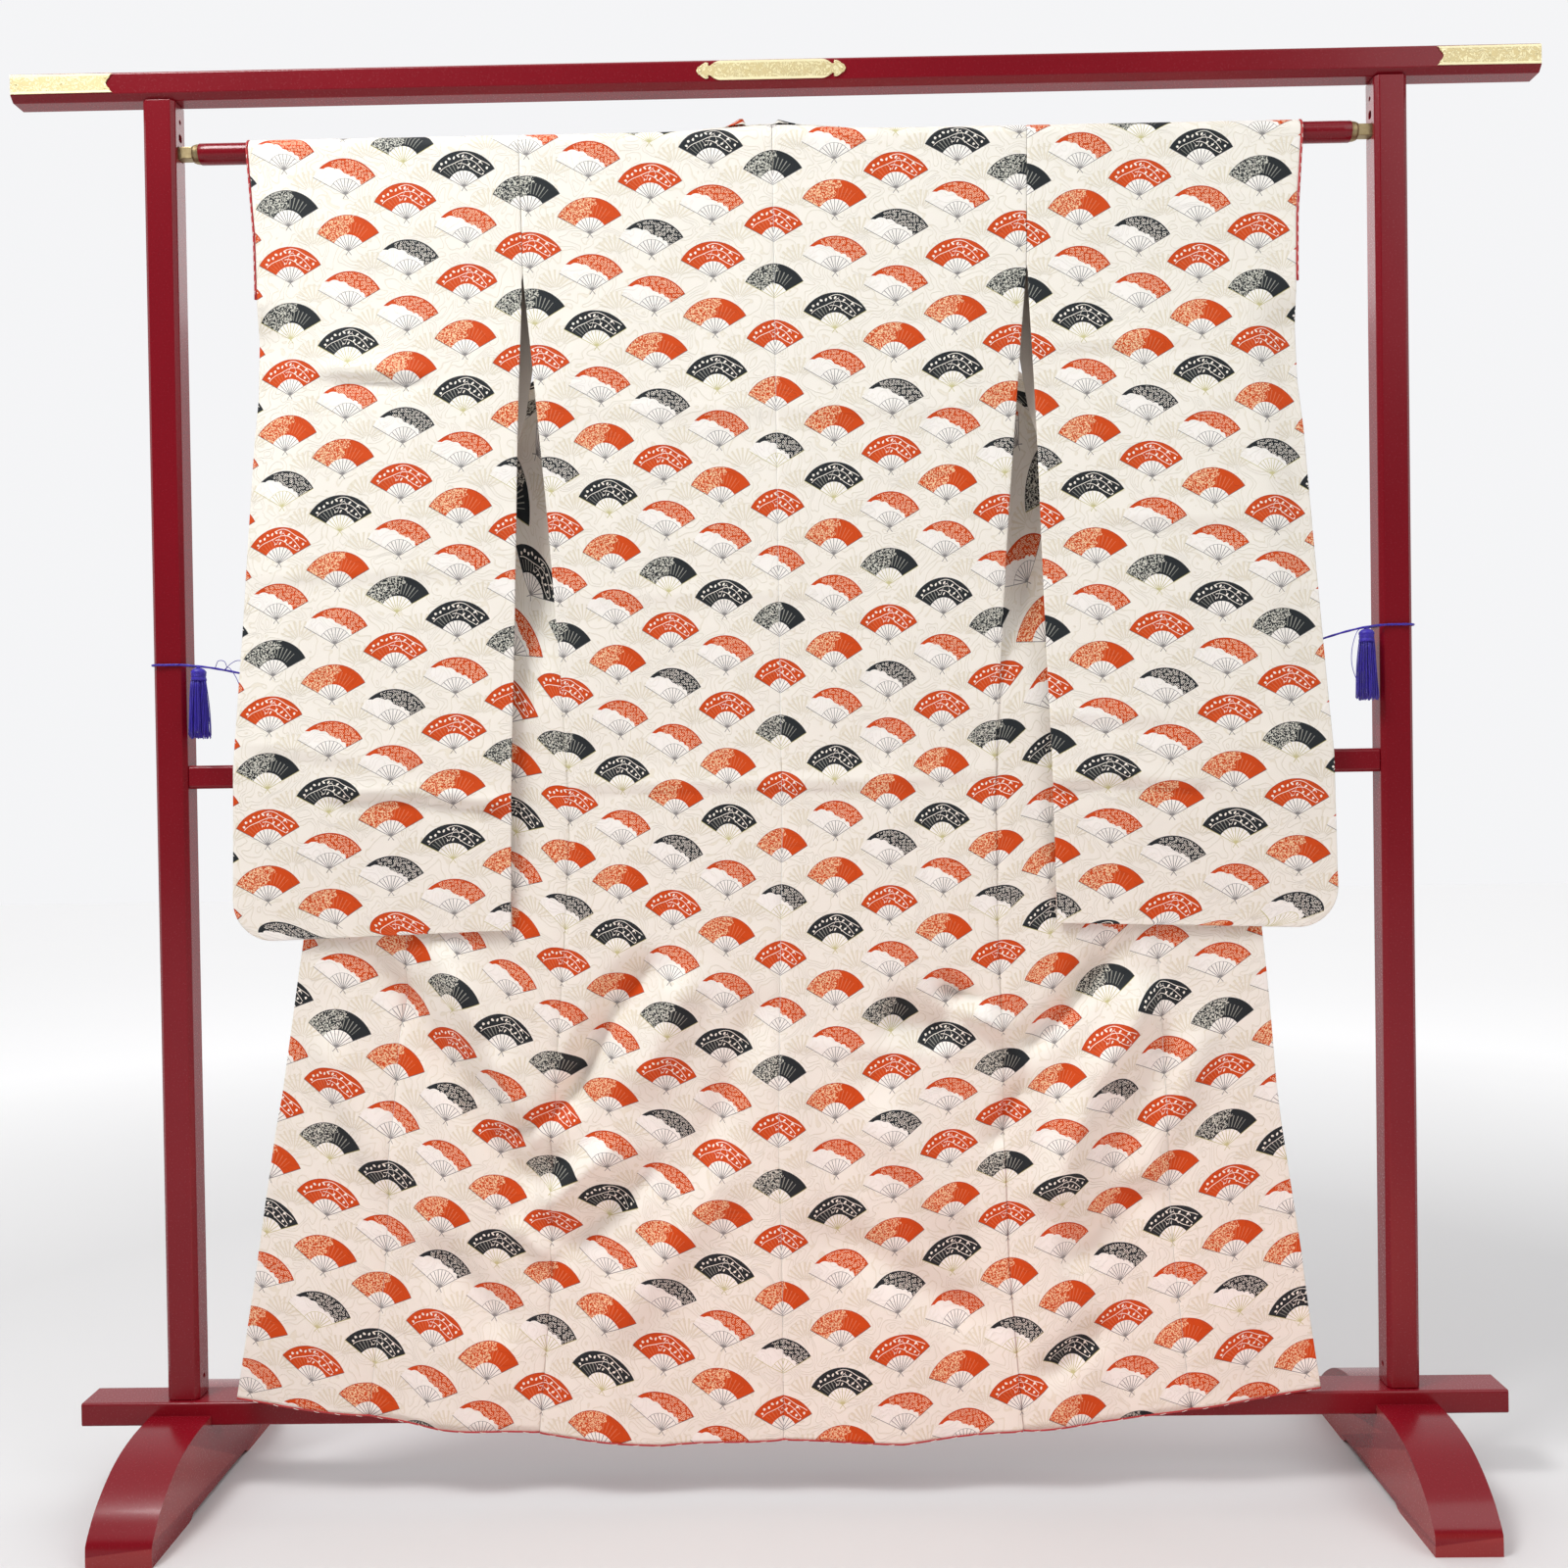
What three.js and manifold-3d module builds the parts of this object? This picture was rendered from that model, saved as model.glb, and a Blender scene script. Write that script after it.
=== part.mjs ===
// Furisode kimono hung by its sleeves on the pole of a lacquered kimono stand.
// Millimetres, +Z up, +X along the pole, the back of the kimono faces -Y.
// The origin lies on the floor under the middle of the stand.
import * as THREE from 'three';
import { mergeVertices } from 'three/addons/utils/BufferGeometryUtils.js';
import Module from 'manifold-3d';

const wasm = await Module();
wasm.setup();

// ---------- driving dimensions ----------
const GAP = 0.3;                 // clearance between touching pieces
const WALL = 2.0;                // lined silk, outer cloth and lining together
const SEAM = 0.4;                // clearance between two cloth edges sewn together
const EDGE_ROLL = 3.0;           // rolled lining edge at cuffs and hem

const POST = { x: 757.5, halfWide: 20, halfDeep: 19, chamfer: 5 };
const BEAM = { half: 940, halfDeep: 20, low: 1728, high: 1762, chamfer: 7 };
const RAIL = { low: 876, high: 905, halfDeep: 14, chamfer: 3 };
const BOARD = { half: 882, halfDeep: 26, low: 85.4, high: 114.4, chamfer: 2 };
const POLE = { radius: 13, half: 721, z: 1666, sides: 12, tenon: 14.4, socket: 12 };
const FOOT = { halfWide: 38, reach: 205, seat: 85.1, shoulder: 98, pad: 100, arch: 6, round: 3.5 };
const CORD = { radius: 1.5, sides: 8, left: 1030, right: 1056 };
const TASSEL = { x: 719.5, y: -20.6, head: 11, skirt: 86, strands: [6, 11, 16], fall: [4.03, 4.52] };
const PLATE = { thick: 1.2, low: 1736, high: 1759.6, end: 128, centre: 92 };

const RIDGE = POLE.radius + GAP + WALL / 2;      // bend radius of the cloth over the pole
const NECK = 90;                                 // half width of the neck opening
const COLLAR = 55;                               // width of the folded collar
const COLLAR_STAND = 3;                          // how far the collar stands off the pole's back
const COLLAR_TURN_SEAM = 2.8;                    // clearance at its seam where the front turns back
const COLLAR_END = 900;                          // height of the collar's lower end
const OKUMI_TIP = 1380;                          // height where the overlap panel starts
const FOLD_START = 1606;                         // height where the fronts begin to turn back
const FOLD_CALM = 1486;                          // height where the collar has turned right over
const ARM_SEAM = 1506;                           // lower end of the seam of body and sleeve
const CUFF_END = 1480;                           // lower end of the wrist opening
const FOLD_END = 950;                            // below it the fronts lie fully open
const FOLD_ROLL = 12;                            // bend radius where a front turns back
const HEM = 70;                                  // nominal height of the hem
const SLEEVE_FOOT = 688;                         // lowest point of a sleeve
const SLEEVE_ROUND = 50;                         // radius of its outer corner

const LACQUER = { color: 0x8e1526, roughness: 0.22, metalness: 0.0 };
const BRASS = { color: 0xd9b764, roughness: 0.35, metalness: 0.9 };
const SILK = { color: 0xf1e8d9, roughness: 0.6, metalness: 0.0 };
const LINING = { color: 0xd0301f, roughness: 0.6, metalness: 0.0 };
const VIOLET = { color: 0x2c1ea0, roughness: 0.55, metalness: 0.0 };

// Body, by height: half width at the side seam, and the widths of front and overlap panel.
const BODY_CUT = [
  { z: 1680, side: 313, front: 223, okumi: 0 },
  { z: 1500, side: 310, front: 220, okumi: 0 },
  { z: 1400, side: 301, front: 218, okumi: 1 },
  { z: 1200, side: 284, front: 212, okumi: 43 },
  { z: 1000, side: 270, front: 205, okumi: 86 },
  { z: 850, side: 262, front: 200, okumi: 118 },
  { z: 690, side: 266, front: 196, okumi: 127 },
  { z: 480, side: 277, front: 197, okumi: 138 },
  { z: 270, side: 282, front: 205, okumi: 157 },
  { z: 70, side: 299, front: 210, okumi: 163 },
];

// Sleeve, by height: distance of its two long edges from the centre.
const SLEEVE_CUT = [
  { z: 1680, inner: 313, outer: 649 },
  { z: 1560, inner: 312, outer: 641 },
  { z: 1476, inner: 312, outer: 640 },
  { z: 1360, inner: 317, outer: 642 },
  { z: 1299, inner: 319, outer: 648 },
  { z: 1058, inner: 325, outer: 663 },
  { z: 900, inner: 330, outer: 674 },
  { z: 688, inner: 335, outer: 678 },
];

// Depth of each hanging layer, by height.
const DEPTH = [
  { z: 1680, back: -RIDGE, front: RIDGE, sleeveBack: -RIDGE, sleeveFront: RIDGE },
  { z: 1500, back: -RIDGE, front: RIDGE, sleeveBack: -RIDGE, sleeveFront: RIDGE },
  { z: 950, back: -22.4, front: -20, sleeveBack: -36, sleeveFront: -24.5 },
  { z: 905, back: -23, front: -20.6, sleeveBack: -38.5, sleeveFront: -27 },
  { z: 690, back: -28, front: -25.6, sleeveBack: -34.6, sleeveFront: -32.2 },
  { z: 70, back: -42, front: -39.6, sleeveBack: -42, sleeveFront: -39.6 },
];

// Height of the hem, by distance from the centre.
const HEM_LINE = [
  { x: 0, z: 72 },
  { x: 150, z: 67 },
  { x: 300, z: 82 },
  { x: 420, z: 91 },
  { x: 506, z: 105 },
  { x: 600, z: 116 },
  { x: 680, z: 128 },
];

// Folds of the skirt: upright waves that deepen towards the hem.
const SKIRT_FOLDS = [
  { at: -560, width: 70, deep: 9 },
  { at: -395, width: 60, deep: 16 },
  { at: -205, width: 75, deep: 13 },
  { at: -35, width: 60, deep: 7 },
  { at: 130, width: 80, deep: 12 },
  { at: 330, width: 65, deep: 15 },
  { at: 520, width: 70, deep: 10 },
];

// ---------- small helpers ----------
function smooth(t) {
  const s = Math.min(1, Math.max(0, t));
  return s * s * (3 - 2 * s);
}

function look(table, key, column, value) {
  const rising = table[0][key] < table[table.length - 1][key];
  const rows = rising ? table : [...table].reverse();
  if (value <= rows[0][key]) return rows[0][column];
  for (let i = 1; i < rows.length; i++) {
    const low = rows[i - 1];
    const high = rows[i];
    if (value <= high[key]) {
      const t = (value - low[key]) / (high[key] - low[key]);
      return low[column] + (high[column] - low[column]) * t;
    }
  }
  return rows[rows.length - 1][column];
}

const cut = (column, z) => look(BODY_CUT, 'z', column, z);
const sleeve = (column, z) => look(SLEEVE_CUT, 'z', column, z);
const depth = (column, z) => look(DEPTH, 'z', column, z);
const steps = (from, to, n) => Array.from({ length: n + 1 }, (_, i) => from + ((to - from) * i) / n);

function toSolid(geometry) {
  const g = geometry.clone();
  for (const name of Object.keys(g.attributes)) if (name !== 'position') g.deleteAttribute(name);
  const merged = mergeVertices(g, 1e-4);
  return new wasm.Manifold(new wasm.Mesh({
    numProp: 3,
    vertProperties: new Float32Array(merged.attributes.position.array),
    triVerts: new Uint32Array(merged.index.array),
  }));
}

function fromSolid(solid) {
  const mesh = solid.getMesh();
  const g = new THREE.BufferGeometry();
  g.setAttribute('position', new THREE.BufferAttribute(new Float32Array(mesh.vertProperties), 3));
  g.setIndex(new THREE.BufferAttribute(new Uint32Array(mesh.triVerts), 1));
  return g;
}

const kimonoStand = new THREE.Group();

function add(name, geometry, finish) {
  geometry.computeVertexNormals();
  const mesh = new THREE.Mesh(geometry, new THREE.MeshStandardMaterial(finish));
  mesh.name = name;
  kimonoStand.add(mesh);
  return mesh;
}

const sideName = (side) => (side < 0 ? 'left' : 'right');

// ---------- cloth ----------
// A wall round a grid of points. keep(row, column) tells which cells are cloth. A point may carry
// the cloth's own normal, so that two pieces that share a seam end in parallel edges there.
function wall(grid, thickness, keep = () => true) {
  const rows = grid.length;
  const cols = grid[0].length;
  const id = (i, j) => i * cols + j;
  const normals = grid.map((row) => row.map(() => new THREE.Vector3()));
  const cells = [];
  for (let i = 0; i < rows - 1; i++) {
    for (let j = 0; j < cols - 1; j++) {
      if (!keep(i, j)) continue;
      cells.push([i, j]);
      const corners = [[i, j], [i, j + 1], [i + 1, j + 1], [i + 1, j]];
      const [a, b, c, d] = corners.map(([r, q]) => grid[r][q]);
      const n = new THREE.Vector3().subVectors(c, a).cross(new THREE.Vector3().subVectors(d, b));
      n.normalize();
      for (const [r, q] of corners) normals[r][q].add(n);
    }
  }
  const count = rows * cols;
  const points = new Float32Array(count * 6);
  grid.forEach((row, i) => row.forEach((p, j) => {
    const n = normals[i][j].normalize();
    const facing = p.normal && n.dot(p.normal) < 0 ? -1 : 1;
    if (p.normal) n.copy(p.normal).multiplyScalar(facing);
    const k = id(i, j) * 3;
    points.set([p.x + (n.x * thickness) / 2, p.y + (n.y * thickness) / 2, p.z + (n.z * thickness) / 2], k);
    points.set([p.x - (n.x * thickness) / 2, p.y - (n.y * thickness) / 2, p.z - (n.z * thickness) / 2],
      k + count * 3);
  }));
  const faces = [];
  const quad = (a, b, c, d) => faces.push(a, b, c, a, c, d);
  const has = (i, j) => i >= 0 && j >= 0 && i < rows - 1 && j < cols - 1 && keep(i, j);
  for (const [i, j] of cells) {
    const a = id(i, j);
    const b = id(i, j + 1);
    const c = id(i + 1, j + 1);
    const d = id(i + 1, j);
    const falling = grid[i][j].distanceTo(grid[i + 1][j + 1]);
    const rising = grid[i][j + 1].distanceTo(grid[i + 1][j]);
    const turned = falling > rising * 1.001;
    if (turned) {
      quad(b, c, d, a);
      quad(b + count, a + count, d + count, c + count);
    } else {
      quad(a, b, c, d);
      quad(a + count, d + count, c + count, b + count);
    }
    if (!has(i - 1, j)) quad(b, a, a + count, b + count);
    if (!has(i + 1, j)) quad(d, c, c + count, d + count);
    if (!has(i, j - 1)) quad(a, d, d + count, a + count);
    if (!has(i, j + 1)) quad(c, b, b + count, c + count);
  }
  return outward(points, faces);
}

// Keeps the used points only, and turns the faces outward.
function outward(points, faces) {
  const used = new Map();
  const kept = [];
  const index = faces.map((f) => {
    if (!used.has(f)) {
      used.set(f, kept.length / 3);
      kept.push(points[f * 3], points[f * 3 + 1], points[f * 3 + 2]);
    }
    return used.get(f);
  });
  let volume = 0;
  const at = (i) => new THREE.Vector3(kept[i * 3], kept[i * 3 + 1], kept[i * 3 + 2]);
  for (let i = 0; i < index.length; i += 3) {
    volume += at(index[i]).dot(at(index[i + 1]).cross(at(index[i + 2])));
  }
  if (volume < 0) {
    for (let i = 0; i < index.length; i += 3) [index[i + 1], index[i + 2]] = [index[i + 2], index[i + 1]];
  }
  const g = new THREE.BufferGeometry();
  g.setAttribute('position', new THREE.BufferAttribute(new Float32Array(kept), 3));
  g.setIndex(index);
  return g;
}

// How far the skirt's folds push the cloth forward.
function skirtFold(x, z) {
  const grow = smooth((760 - z) / 640);
  let push = 0;
  for (const f of SKIRT_FOLDS) push += f.deep * Math.exp(-(((x - f.at) / f.width) ** 2));
  return push * grow;
}

// Real height of a point whose nominal height is z: the hem rises towards the front corners.
function drop(x, z) {
  const top = 700;
  if (z >= top) return z;
  const hem = look(HEM_LINE, 'x', 'z', Math.abs(x));
  return hem + ((top - hem) * (z - HEM)) / (top - HEM);
}

const ridgeLift = (x) => 7 * Math.exp(-((x / 80) ** 2));

// A point of the cloth over the pole. turn runs from 0 on the back's side to PI behind the pole.
function overPole(x, turn) {
  const lift = ridgeLift(x) * Math.sin(turn) ** 2;
  return new THREE.Vector3(x, -RIDGE * Math.cos(turn), POLE.z + RIDGE * Math.sin(turn) + lift);
}

function backPoint(side, x, z) {
  return new THREE.Vector3(side * x, depth('back', z) - skirtFold(side * x, z), drop(x, z));
}

// Distance from the centre of the line where a front turns back outward.
function foldLine(z) {
  const side = cut('side', z);
  const start = NECK - COLLAR - (FOLD_ROLL * Math.PI) / 2;
  const t = Math.min(1, Math.max(0, (FOLD_START - z) / (FOLD_START - FOLD_END)));
  return start + (side - start) * (1 - (1 - t) ** 1.85);
}

// A point of a front with its normal, q along the cloth from the side seam, at nominal height z.
function frontPoint(side, q, z) {
  const p = frontPlace(side, q, z);
  const acrossCloth = frontPlace(side, q + 1, z).sub(frontPlace(side, q - 1, z));
  const alongCloth = frontPlace(side, q, z + 4).sub(frontPlace(side, q, z - 4));
  p.normal = acrossCloth.cross(alongCloth).normalize();
  return p;
}

function frontPlace(side, q, z) {
  const seamX = cut('side', z);
  const closed = seamX - foldLine(z);
  const roll = Math.min(FOLD_ROLL, closed * 0.6);
  const flat = closed - (Math.PI * roll) / 2;
  const behind = depth('back', z) + WALL + SEAM;
  const sewn = smooth((1400 - z) / 100) * (1 - smooth(q / 60));
  let y = depth('front', z);
  y += (behind - y) * sewn;
  let x = seamX - q;
  if (roll > 0.01 && q > flat) {
    const turn = Math.min(Math.PI, (q - flat) / roll);
    x = seamX - flat - roll * Math.sin(turn) + Math.max(0, q - flat - Math.PI * roll);
    y += roll * (1 - Math.cos(turn));
  }
  if (closed <= 0.02) x = seamX + q;
  return new THREE.Vector3(side * x, y - skirtFold(side * x, z), drop(x, z));
}

const POLE_TURNS = steps(0, Math.PI, POLE.sides / 2);
const BACK_ROWS = [...steps(HEM, 700, 8), ...steps(700, POLE.z, 9).slice(1)];
const FRONT_ROWS = [
  POLE.z, ...steps(FOLD_START, FOLD_CALM, 5), ...steps(FOLD_CALM, COLLAR_END, 9).slice(1),
  ...steps(COLLAR_END, HEM, 9).slice(1),
];

// One length of cloth from the back hem over the pole to the front hem.
function bodyPanel(side) {
  const neckCols = 3;
  const bodyCols = 12;
  const backX = (z, j) => {
    const seam = cut('side', z);
    const neck = (seam * NECK) / cut('side', POLE.z);
    if (j <= neckCols) return SEAM / 2 + ((neck - SEAM / 2) * j) / neckCols;
    return neck + ((seam - neck) * (j - neckCols)) / bodyCols;
  };
  const cols = steps(0, neckCols + bodyCols, neckCols + bodyCols);
  const grid = [];
  for (const z of BACK_ROWS) grid.push(cols.map((j) => backPoint(side, backX(z, j), z)));
  for (const turn of POLE_TURNS.slice(1, -1)) {
    grid.push(cols.map((j) => overPole(side * backX(POLE.z, j), turn)));
  }
  const ridgeRow = BACK_ROWS.length + POLE_TURNS.length / 2 - 1.5;
  for (const z of FRONT_ROWS) {
    const width = cut('front', z);
    grid.push(cols.map((j) => {
      const q = width * (1 - Math.max(0, j - neckCols) / bodyCols);
      return frontPoint(side, q, z);
    }));
  }
  const keep = (i, j) => j >= neckCols || i < ridgeRow;
  return wall(grid, WALL, keep);
}

// The overlap panel, sewn to the front's edge.
function okumiPanel(side) {
  const rows = FRONT_ROWS.filter((z) => z < OKUMI_TIP);
  const cols = steps(0, 1, 4);
  return wall(rows.map((z) => {
    const from = cut('front', z) + SEAM;
    const width = cut('okumi', z);
    return cols.map((t) => frontPoint(side, from + width * t, z));
  }), WALL);
}

// The folded collar: up one front edge, round the back of the neck and down the other.
function collarLift(x) {
  return 15 * Math.exp(-(((x + 36) / 15) ** 2)) + 9 * Math.exp(-(((x - 18) / 12) ** 2));
}

function collarNeckPoint(x, fall) {
  const radius = RIDGE + COLLAR_STAND;
  const quarter = (radius * Math.PI) / 2;
  if (fall >= quarter) return new THREE.Vector3(x, radius, POLE.z - (fall - quarter));
  const turn = fall / radius;
  const raise = ridgeLift(x) * Math.cos(turn) + collarLift(x) * Math.sin((Math.PI * fall) / quarter);
  return new THREE.Vector3(x, radius * Math.sin(turn), POLE.z + radius * Math.cos(turn) + raise);
}

// Neck line and free edge of the collar round the neck, as distance from the centre and fall.
const NECK_CURVE = [
  { sewnX: 89.5, sewnFall: 76, freeX: 34.6, freeFall: 76 },
  { sewnX: 89.4, sewnFall: 50, freeX: 33.5, freeFall: 68 },
  { sewnX: 89.2, sewnFall: 26, freeX: 31, freeFall: 63 },
  { sewnX: 88, sewnFall: 12, freeX: 29, freeFall: 60 },
  { sewnX: 86, sewnFall: 1.2, freeX: 27, freeFall: 58 },
  { sewnX: 62, sewnFall: 1.2, freeX: 20, freeFall: 56 },
  { sewnX: 46, sewnFall: 1.2, freeX: 16, freeFall: 55 },
  { sewnX: 34, sewnFall: 1.2, freeX: 12, freeFall: 55 },
  { sewnX: 20, sewnFall: 1.2, freeX: 8, freeFall: 55 },
  { sewnX: 0, sewnFall: 1.2, freeX: 0, freeFall: 55 },
];

function collar() {
  const cols = [0, 0.15, 0.3, 0.45, 1];
  const frontRows = FRONT_ROWS.filter((z) => z >= COLLAR_END && z < 1610).reverse();
  const frontHalf = (side) => frontRows.map((z) => cols.map((t) => {
    const seam = z > FOLD_CALM - 1 && z < 1570 ? COLLAR_TURN_SEAM : 2 * SEAM;
    const from = cut('front', z) + (z < OKUMI_TIP ? cut('okumi', z) + SEAM : 0) + seam;
    return frontPoint(side, from + COLLAR * t, z);
  }));
  const neckHalf = (side) => NECK_CURVE.map((c) => cols.map((t) => {
    const x = c.sewnX + (c.freeX - c.sewnX) * t;
    return collarNeckPoint(side * x, c.sewnFall + (c.freeFall - c.sewnFall) * t);
  }));
  const right = [...frontHalf(1), ...neckHalf(1).slice(0, -1)].reverse();
  return wall([...frontHalf(-1), ...neckHalf(-1), ...right], WALL);
}

// Layers of a sleeve: they part in the middle and meet at the outer edge below the wrist opening.
function sleeveLayers(z, t) {
  const back = depth('sleeveBack', z);
  const front = depth('sleeveFront', z);
  const shut = smooth((CUFF_END - z) / 60) * smooth((t - 0.8) / 0.2);
  const middle = (back + front) / 2;
  const half = (WALL + SEAM) / 2;
  return { back: back + (middle - half - back) * shut, front: front + (middle + half - front) * shut };
}

function sleeveX(z, t) {
  let inner = sleeve('inner', z);
  if (z >= ARM_SEAM) inner = cut('side', z) + SEAM;
  let outer = sleeve('outer', z);
  const centre = SLEEVE_FOOT + SLEEVE_ROUND;
  if (z < centre) {
    const rise = Math.min(1, (centre - z) / SLEEVE_ROUND);
    outer += SLEEVE_ROUND * (Math.sqrt(1 - rise * rise) - 1);
  }
  return inner + (outer - inner) * t;
}

const roundRow = (angle) => SLEEVE_FOOT + SLEEVE_ROUND * (1 - Math.sin(angle));
const SLEEVE_ROWS = [
  ...steps(Math.PI / 2, 0, 4).map(roundRow),
  ...steps(SLEEVE_FOOT + SLEEVE_ROUND, CUFF_END - 60, 8).slice(1),
  CUFF_END - 30, CUFF_END, ARM_SEAM, 1586, POLE.z,
];

// One length of cloth folded over the pole; its edges meet at the bottom and the outer side.
function sleevePanel(side) {
  const cols = [0, 0.18, 0.38, 0.6, 0.8, 0.92, 1];
  const layer = (name) => SLEEVE_ROWS.map((z) => cols.map((t) => {
    const x = sleeveX(z, t);
    const rise = 9 * (1 - t) * smooth((1000 - z) / 300);
    return new THREE.Vector3(side * x, sleeveLayers(z, t)[name], z + rise);
  }));
  const over = POLE_TURNS.slice(1, -1).map((turn) => cols.map((t) => overPole(side * sleeveX(POLE.z, t), turn)));
  return wall([...layer('back'), ...over, ...layer('front').reverse()], WALL);
}

// Rolled red lining edge round the wrist opening.
function cuffLining(side) {
  const across = [GAP, GAP + EDGE_ROLL];
  const heights = [CUFF_END, ARM_SEAM, 1586, POLE.z];
  const layer = (name) => heights.map((z) => across.map((d) => (
    new THREE.Vector3(side * (sleeveX(z, 1) + d), sleeveLayers(z, 1)[name], z))));
  const over = POLE_TURNS.slice(1, -1).map((turn) => across.map((d) => (
    overPole(side * (sleeveX(POLE.z, 1) + d), turn))));
  return wall([...layer('back'), ...over, ...layer('front').reverse()], WALL);
}

// Rolled red lining edge under the hem.
function hemLining(points) {
  const lower = (p, d) => new THREE.Vector3(p.x, p.y, p.z - d);
  return wall(points.map((p) => [lower(p, GAP), lower(p, GAP + EDGE_ROLL)]), WALL);
}

function garment() {
  for (const side of [-1, 1]) {
    add(`body_panel_${sideName(side)}`, bodyPanel(side), SILK);
    add(`sleeve_${sideName(side)}`, sleevePanel(side), SILK);
    add(`okumi_${sideName(side)}`, okumiPanel(side), SILK);
    add(`cuff_lining_${sideName(side)}`, cuffLining(side), LINING);
    const width = cut('front', HEM) + SEAM + cut('okumi', HEM);
    const hem = steps(0, width, 18).map((q) => frontPoint(side, q, HEM));
    add(`hem_lining_front_${sideName(side)}`, hemLining(hem), LINING);
  }
  const reach = cut('side', HEM);
  const backHem = steps(-reach, reach, 28).map((x) => backPoint(Math.sign(x) || 1, Math.abs(x), HEM));
  add('hem_lining_back', hemLining(backHem), LINING);
  add('collar', collar(), SILK);
}

// ---------- stand ----------
function chamferedSection(halfA, halfB, chamfers) {
  const [a, b, c, d] = chamfers;       // corners: -A-B, +A-B, +A+B, -A+B
  const s = new THREE.Shape();
  s.moveTo(-halfA + a, -halfB);
  s.lineTo(halfA - b, -halfB);
  s.lineTo(halfA, -halfB + b);
  s.lineTo(halfA, halfB - c);
  s.lineTo(halfA - c, halfB);
  s.lineTo(-halfA + d, halfB);
  s.lineTo(-halfA, halfB - d);
  s.lineTo(-halfA, -halfB + a);
  return s;
}

// A bar along X whose section is drawn in depth and height.
function barAlongX(shape, length) {
  const g = new THREE.ExtrudeGeometry(shape, { depth: length, bevelEnabled: false });
  g.applyMatrix4(new THREE.Matrix4().set(0, 0, 1, -length / 2, 1, 0, 0, 0, 0, 1, 0, 0, 0, 0, 0, 1));
  return g;
}

function boxAt(x, y, z, sx, sy, sz) {
  return new THREE.BoxGeometry(sx, sy, sz).translate(x, y, z);
}

function rodAlongX(radius, length, sides, x, y, z) {
  return new THREE.CylinderGeometry(radius, radius, length, sides).rotateZ(Math.PI / 2).translate(x, y, z);
}

function beam() {
  const half = (BEAM.high - BEAM.low) / 2;
  const shape = chamferedSection(BEAM.halfDeep, half, [BEAM.chamfer, BEAM.chamfer, 2.5, 2.5]);
  return barAlongX(shape, BEAM.half * 2).translate(0, 0, BEAM.low + half);
}

function post(side) {
  const low = BOARD.high + GAP;
  const high = BEAM.low - GAP;
  const c = POST.chamfer;
  const shape = chamferedSection(POST.halfWide, POST.halfDeep, [c, c, c, c]);
  const blank = new THREE.ExtrudeGeometry(shape, { depth: high - low, bevelEnabled: false });
  blank.translate(side * POST.x, 0, low);
  const face = side * (POST.x - POST.halfWide);
  const socket = POLE.tenon + 2 * GAP;
  const cuts = [
    boxAt(face, 0, POLE.z, POLE.socket * 2 + 2 * GAP, socket, socket),
    rodAlongX(2.2, 16, 8, face, 0, POLE.z + 40),
    rodAlongX(4.6, 24, 10, face, 0, POLE.z + 20),
    rodAlongX(2.6, 16, 8, face, 0, low + 24),
  ];
  let solid = toSolid(blank);
  for (const tool of cuts) solid = solid.subtract(toSolid(tool));
  return fromSolid(solid);
}

function pole() {
  const angle = Math.PI / 2;
  const rod = new THREE.CylinderGeometry(POLE.radius, POLE.radius, POLE.half * 2 - 4, POLE.sides);
  const nose = new THREE.CylinderGeometry(POLE.radius - 2, POLE.radius, 2, POLE.sides);
  const ends = [
    nose.clone().translate(0, POLE.half - 1, 0),
    nose.clone().rotateX(Math.PI).translate(0, -POLE.half + 1, 0),
  ];
  let solid = toSolid(rod);
  for (const end of ends) solid = solid.add(toSolid(end));
  const tenonHalf = POST.x - POST.halfWide + POLE.socket;
  solid = solid.add(toSolid(new THREE.BoxGeometry(POLE.tenon, tenonHalf * 2, POLE.tenon)));
  return fromSolid(solid).rotateY(angle).rotateZ(angle).translate(0, 0, POLE.z);
}

function midRail() {
  const half = (RAIL.high - RAIL.low) / 2;
  const c = RAIL.chamfer;
  const length = 2 * (POST.x - POST.halfWide - GAP);
  return barAlongX(chamferedSection(RAIL.halfDeep, half, [c, c, c, c]), length).translate(0, 0, RAIL.low + half);
}

function baseBoard() {
  const half = (BOARD.high - BOARD.low) / 2;
  const c = BOARD.chamfer;
  const shape = chamferedSection(BOARD.halfDeep, half, [c, c, c, c]);
  return barAlongX(shape, BOARD.half * 2).translate(0, 0, BOARD.low + half);
}

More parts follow.
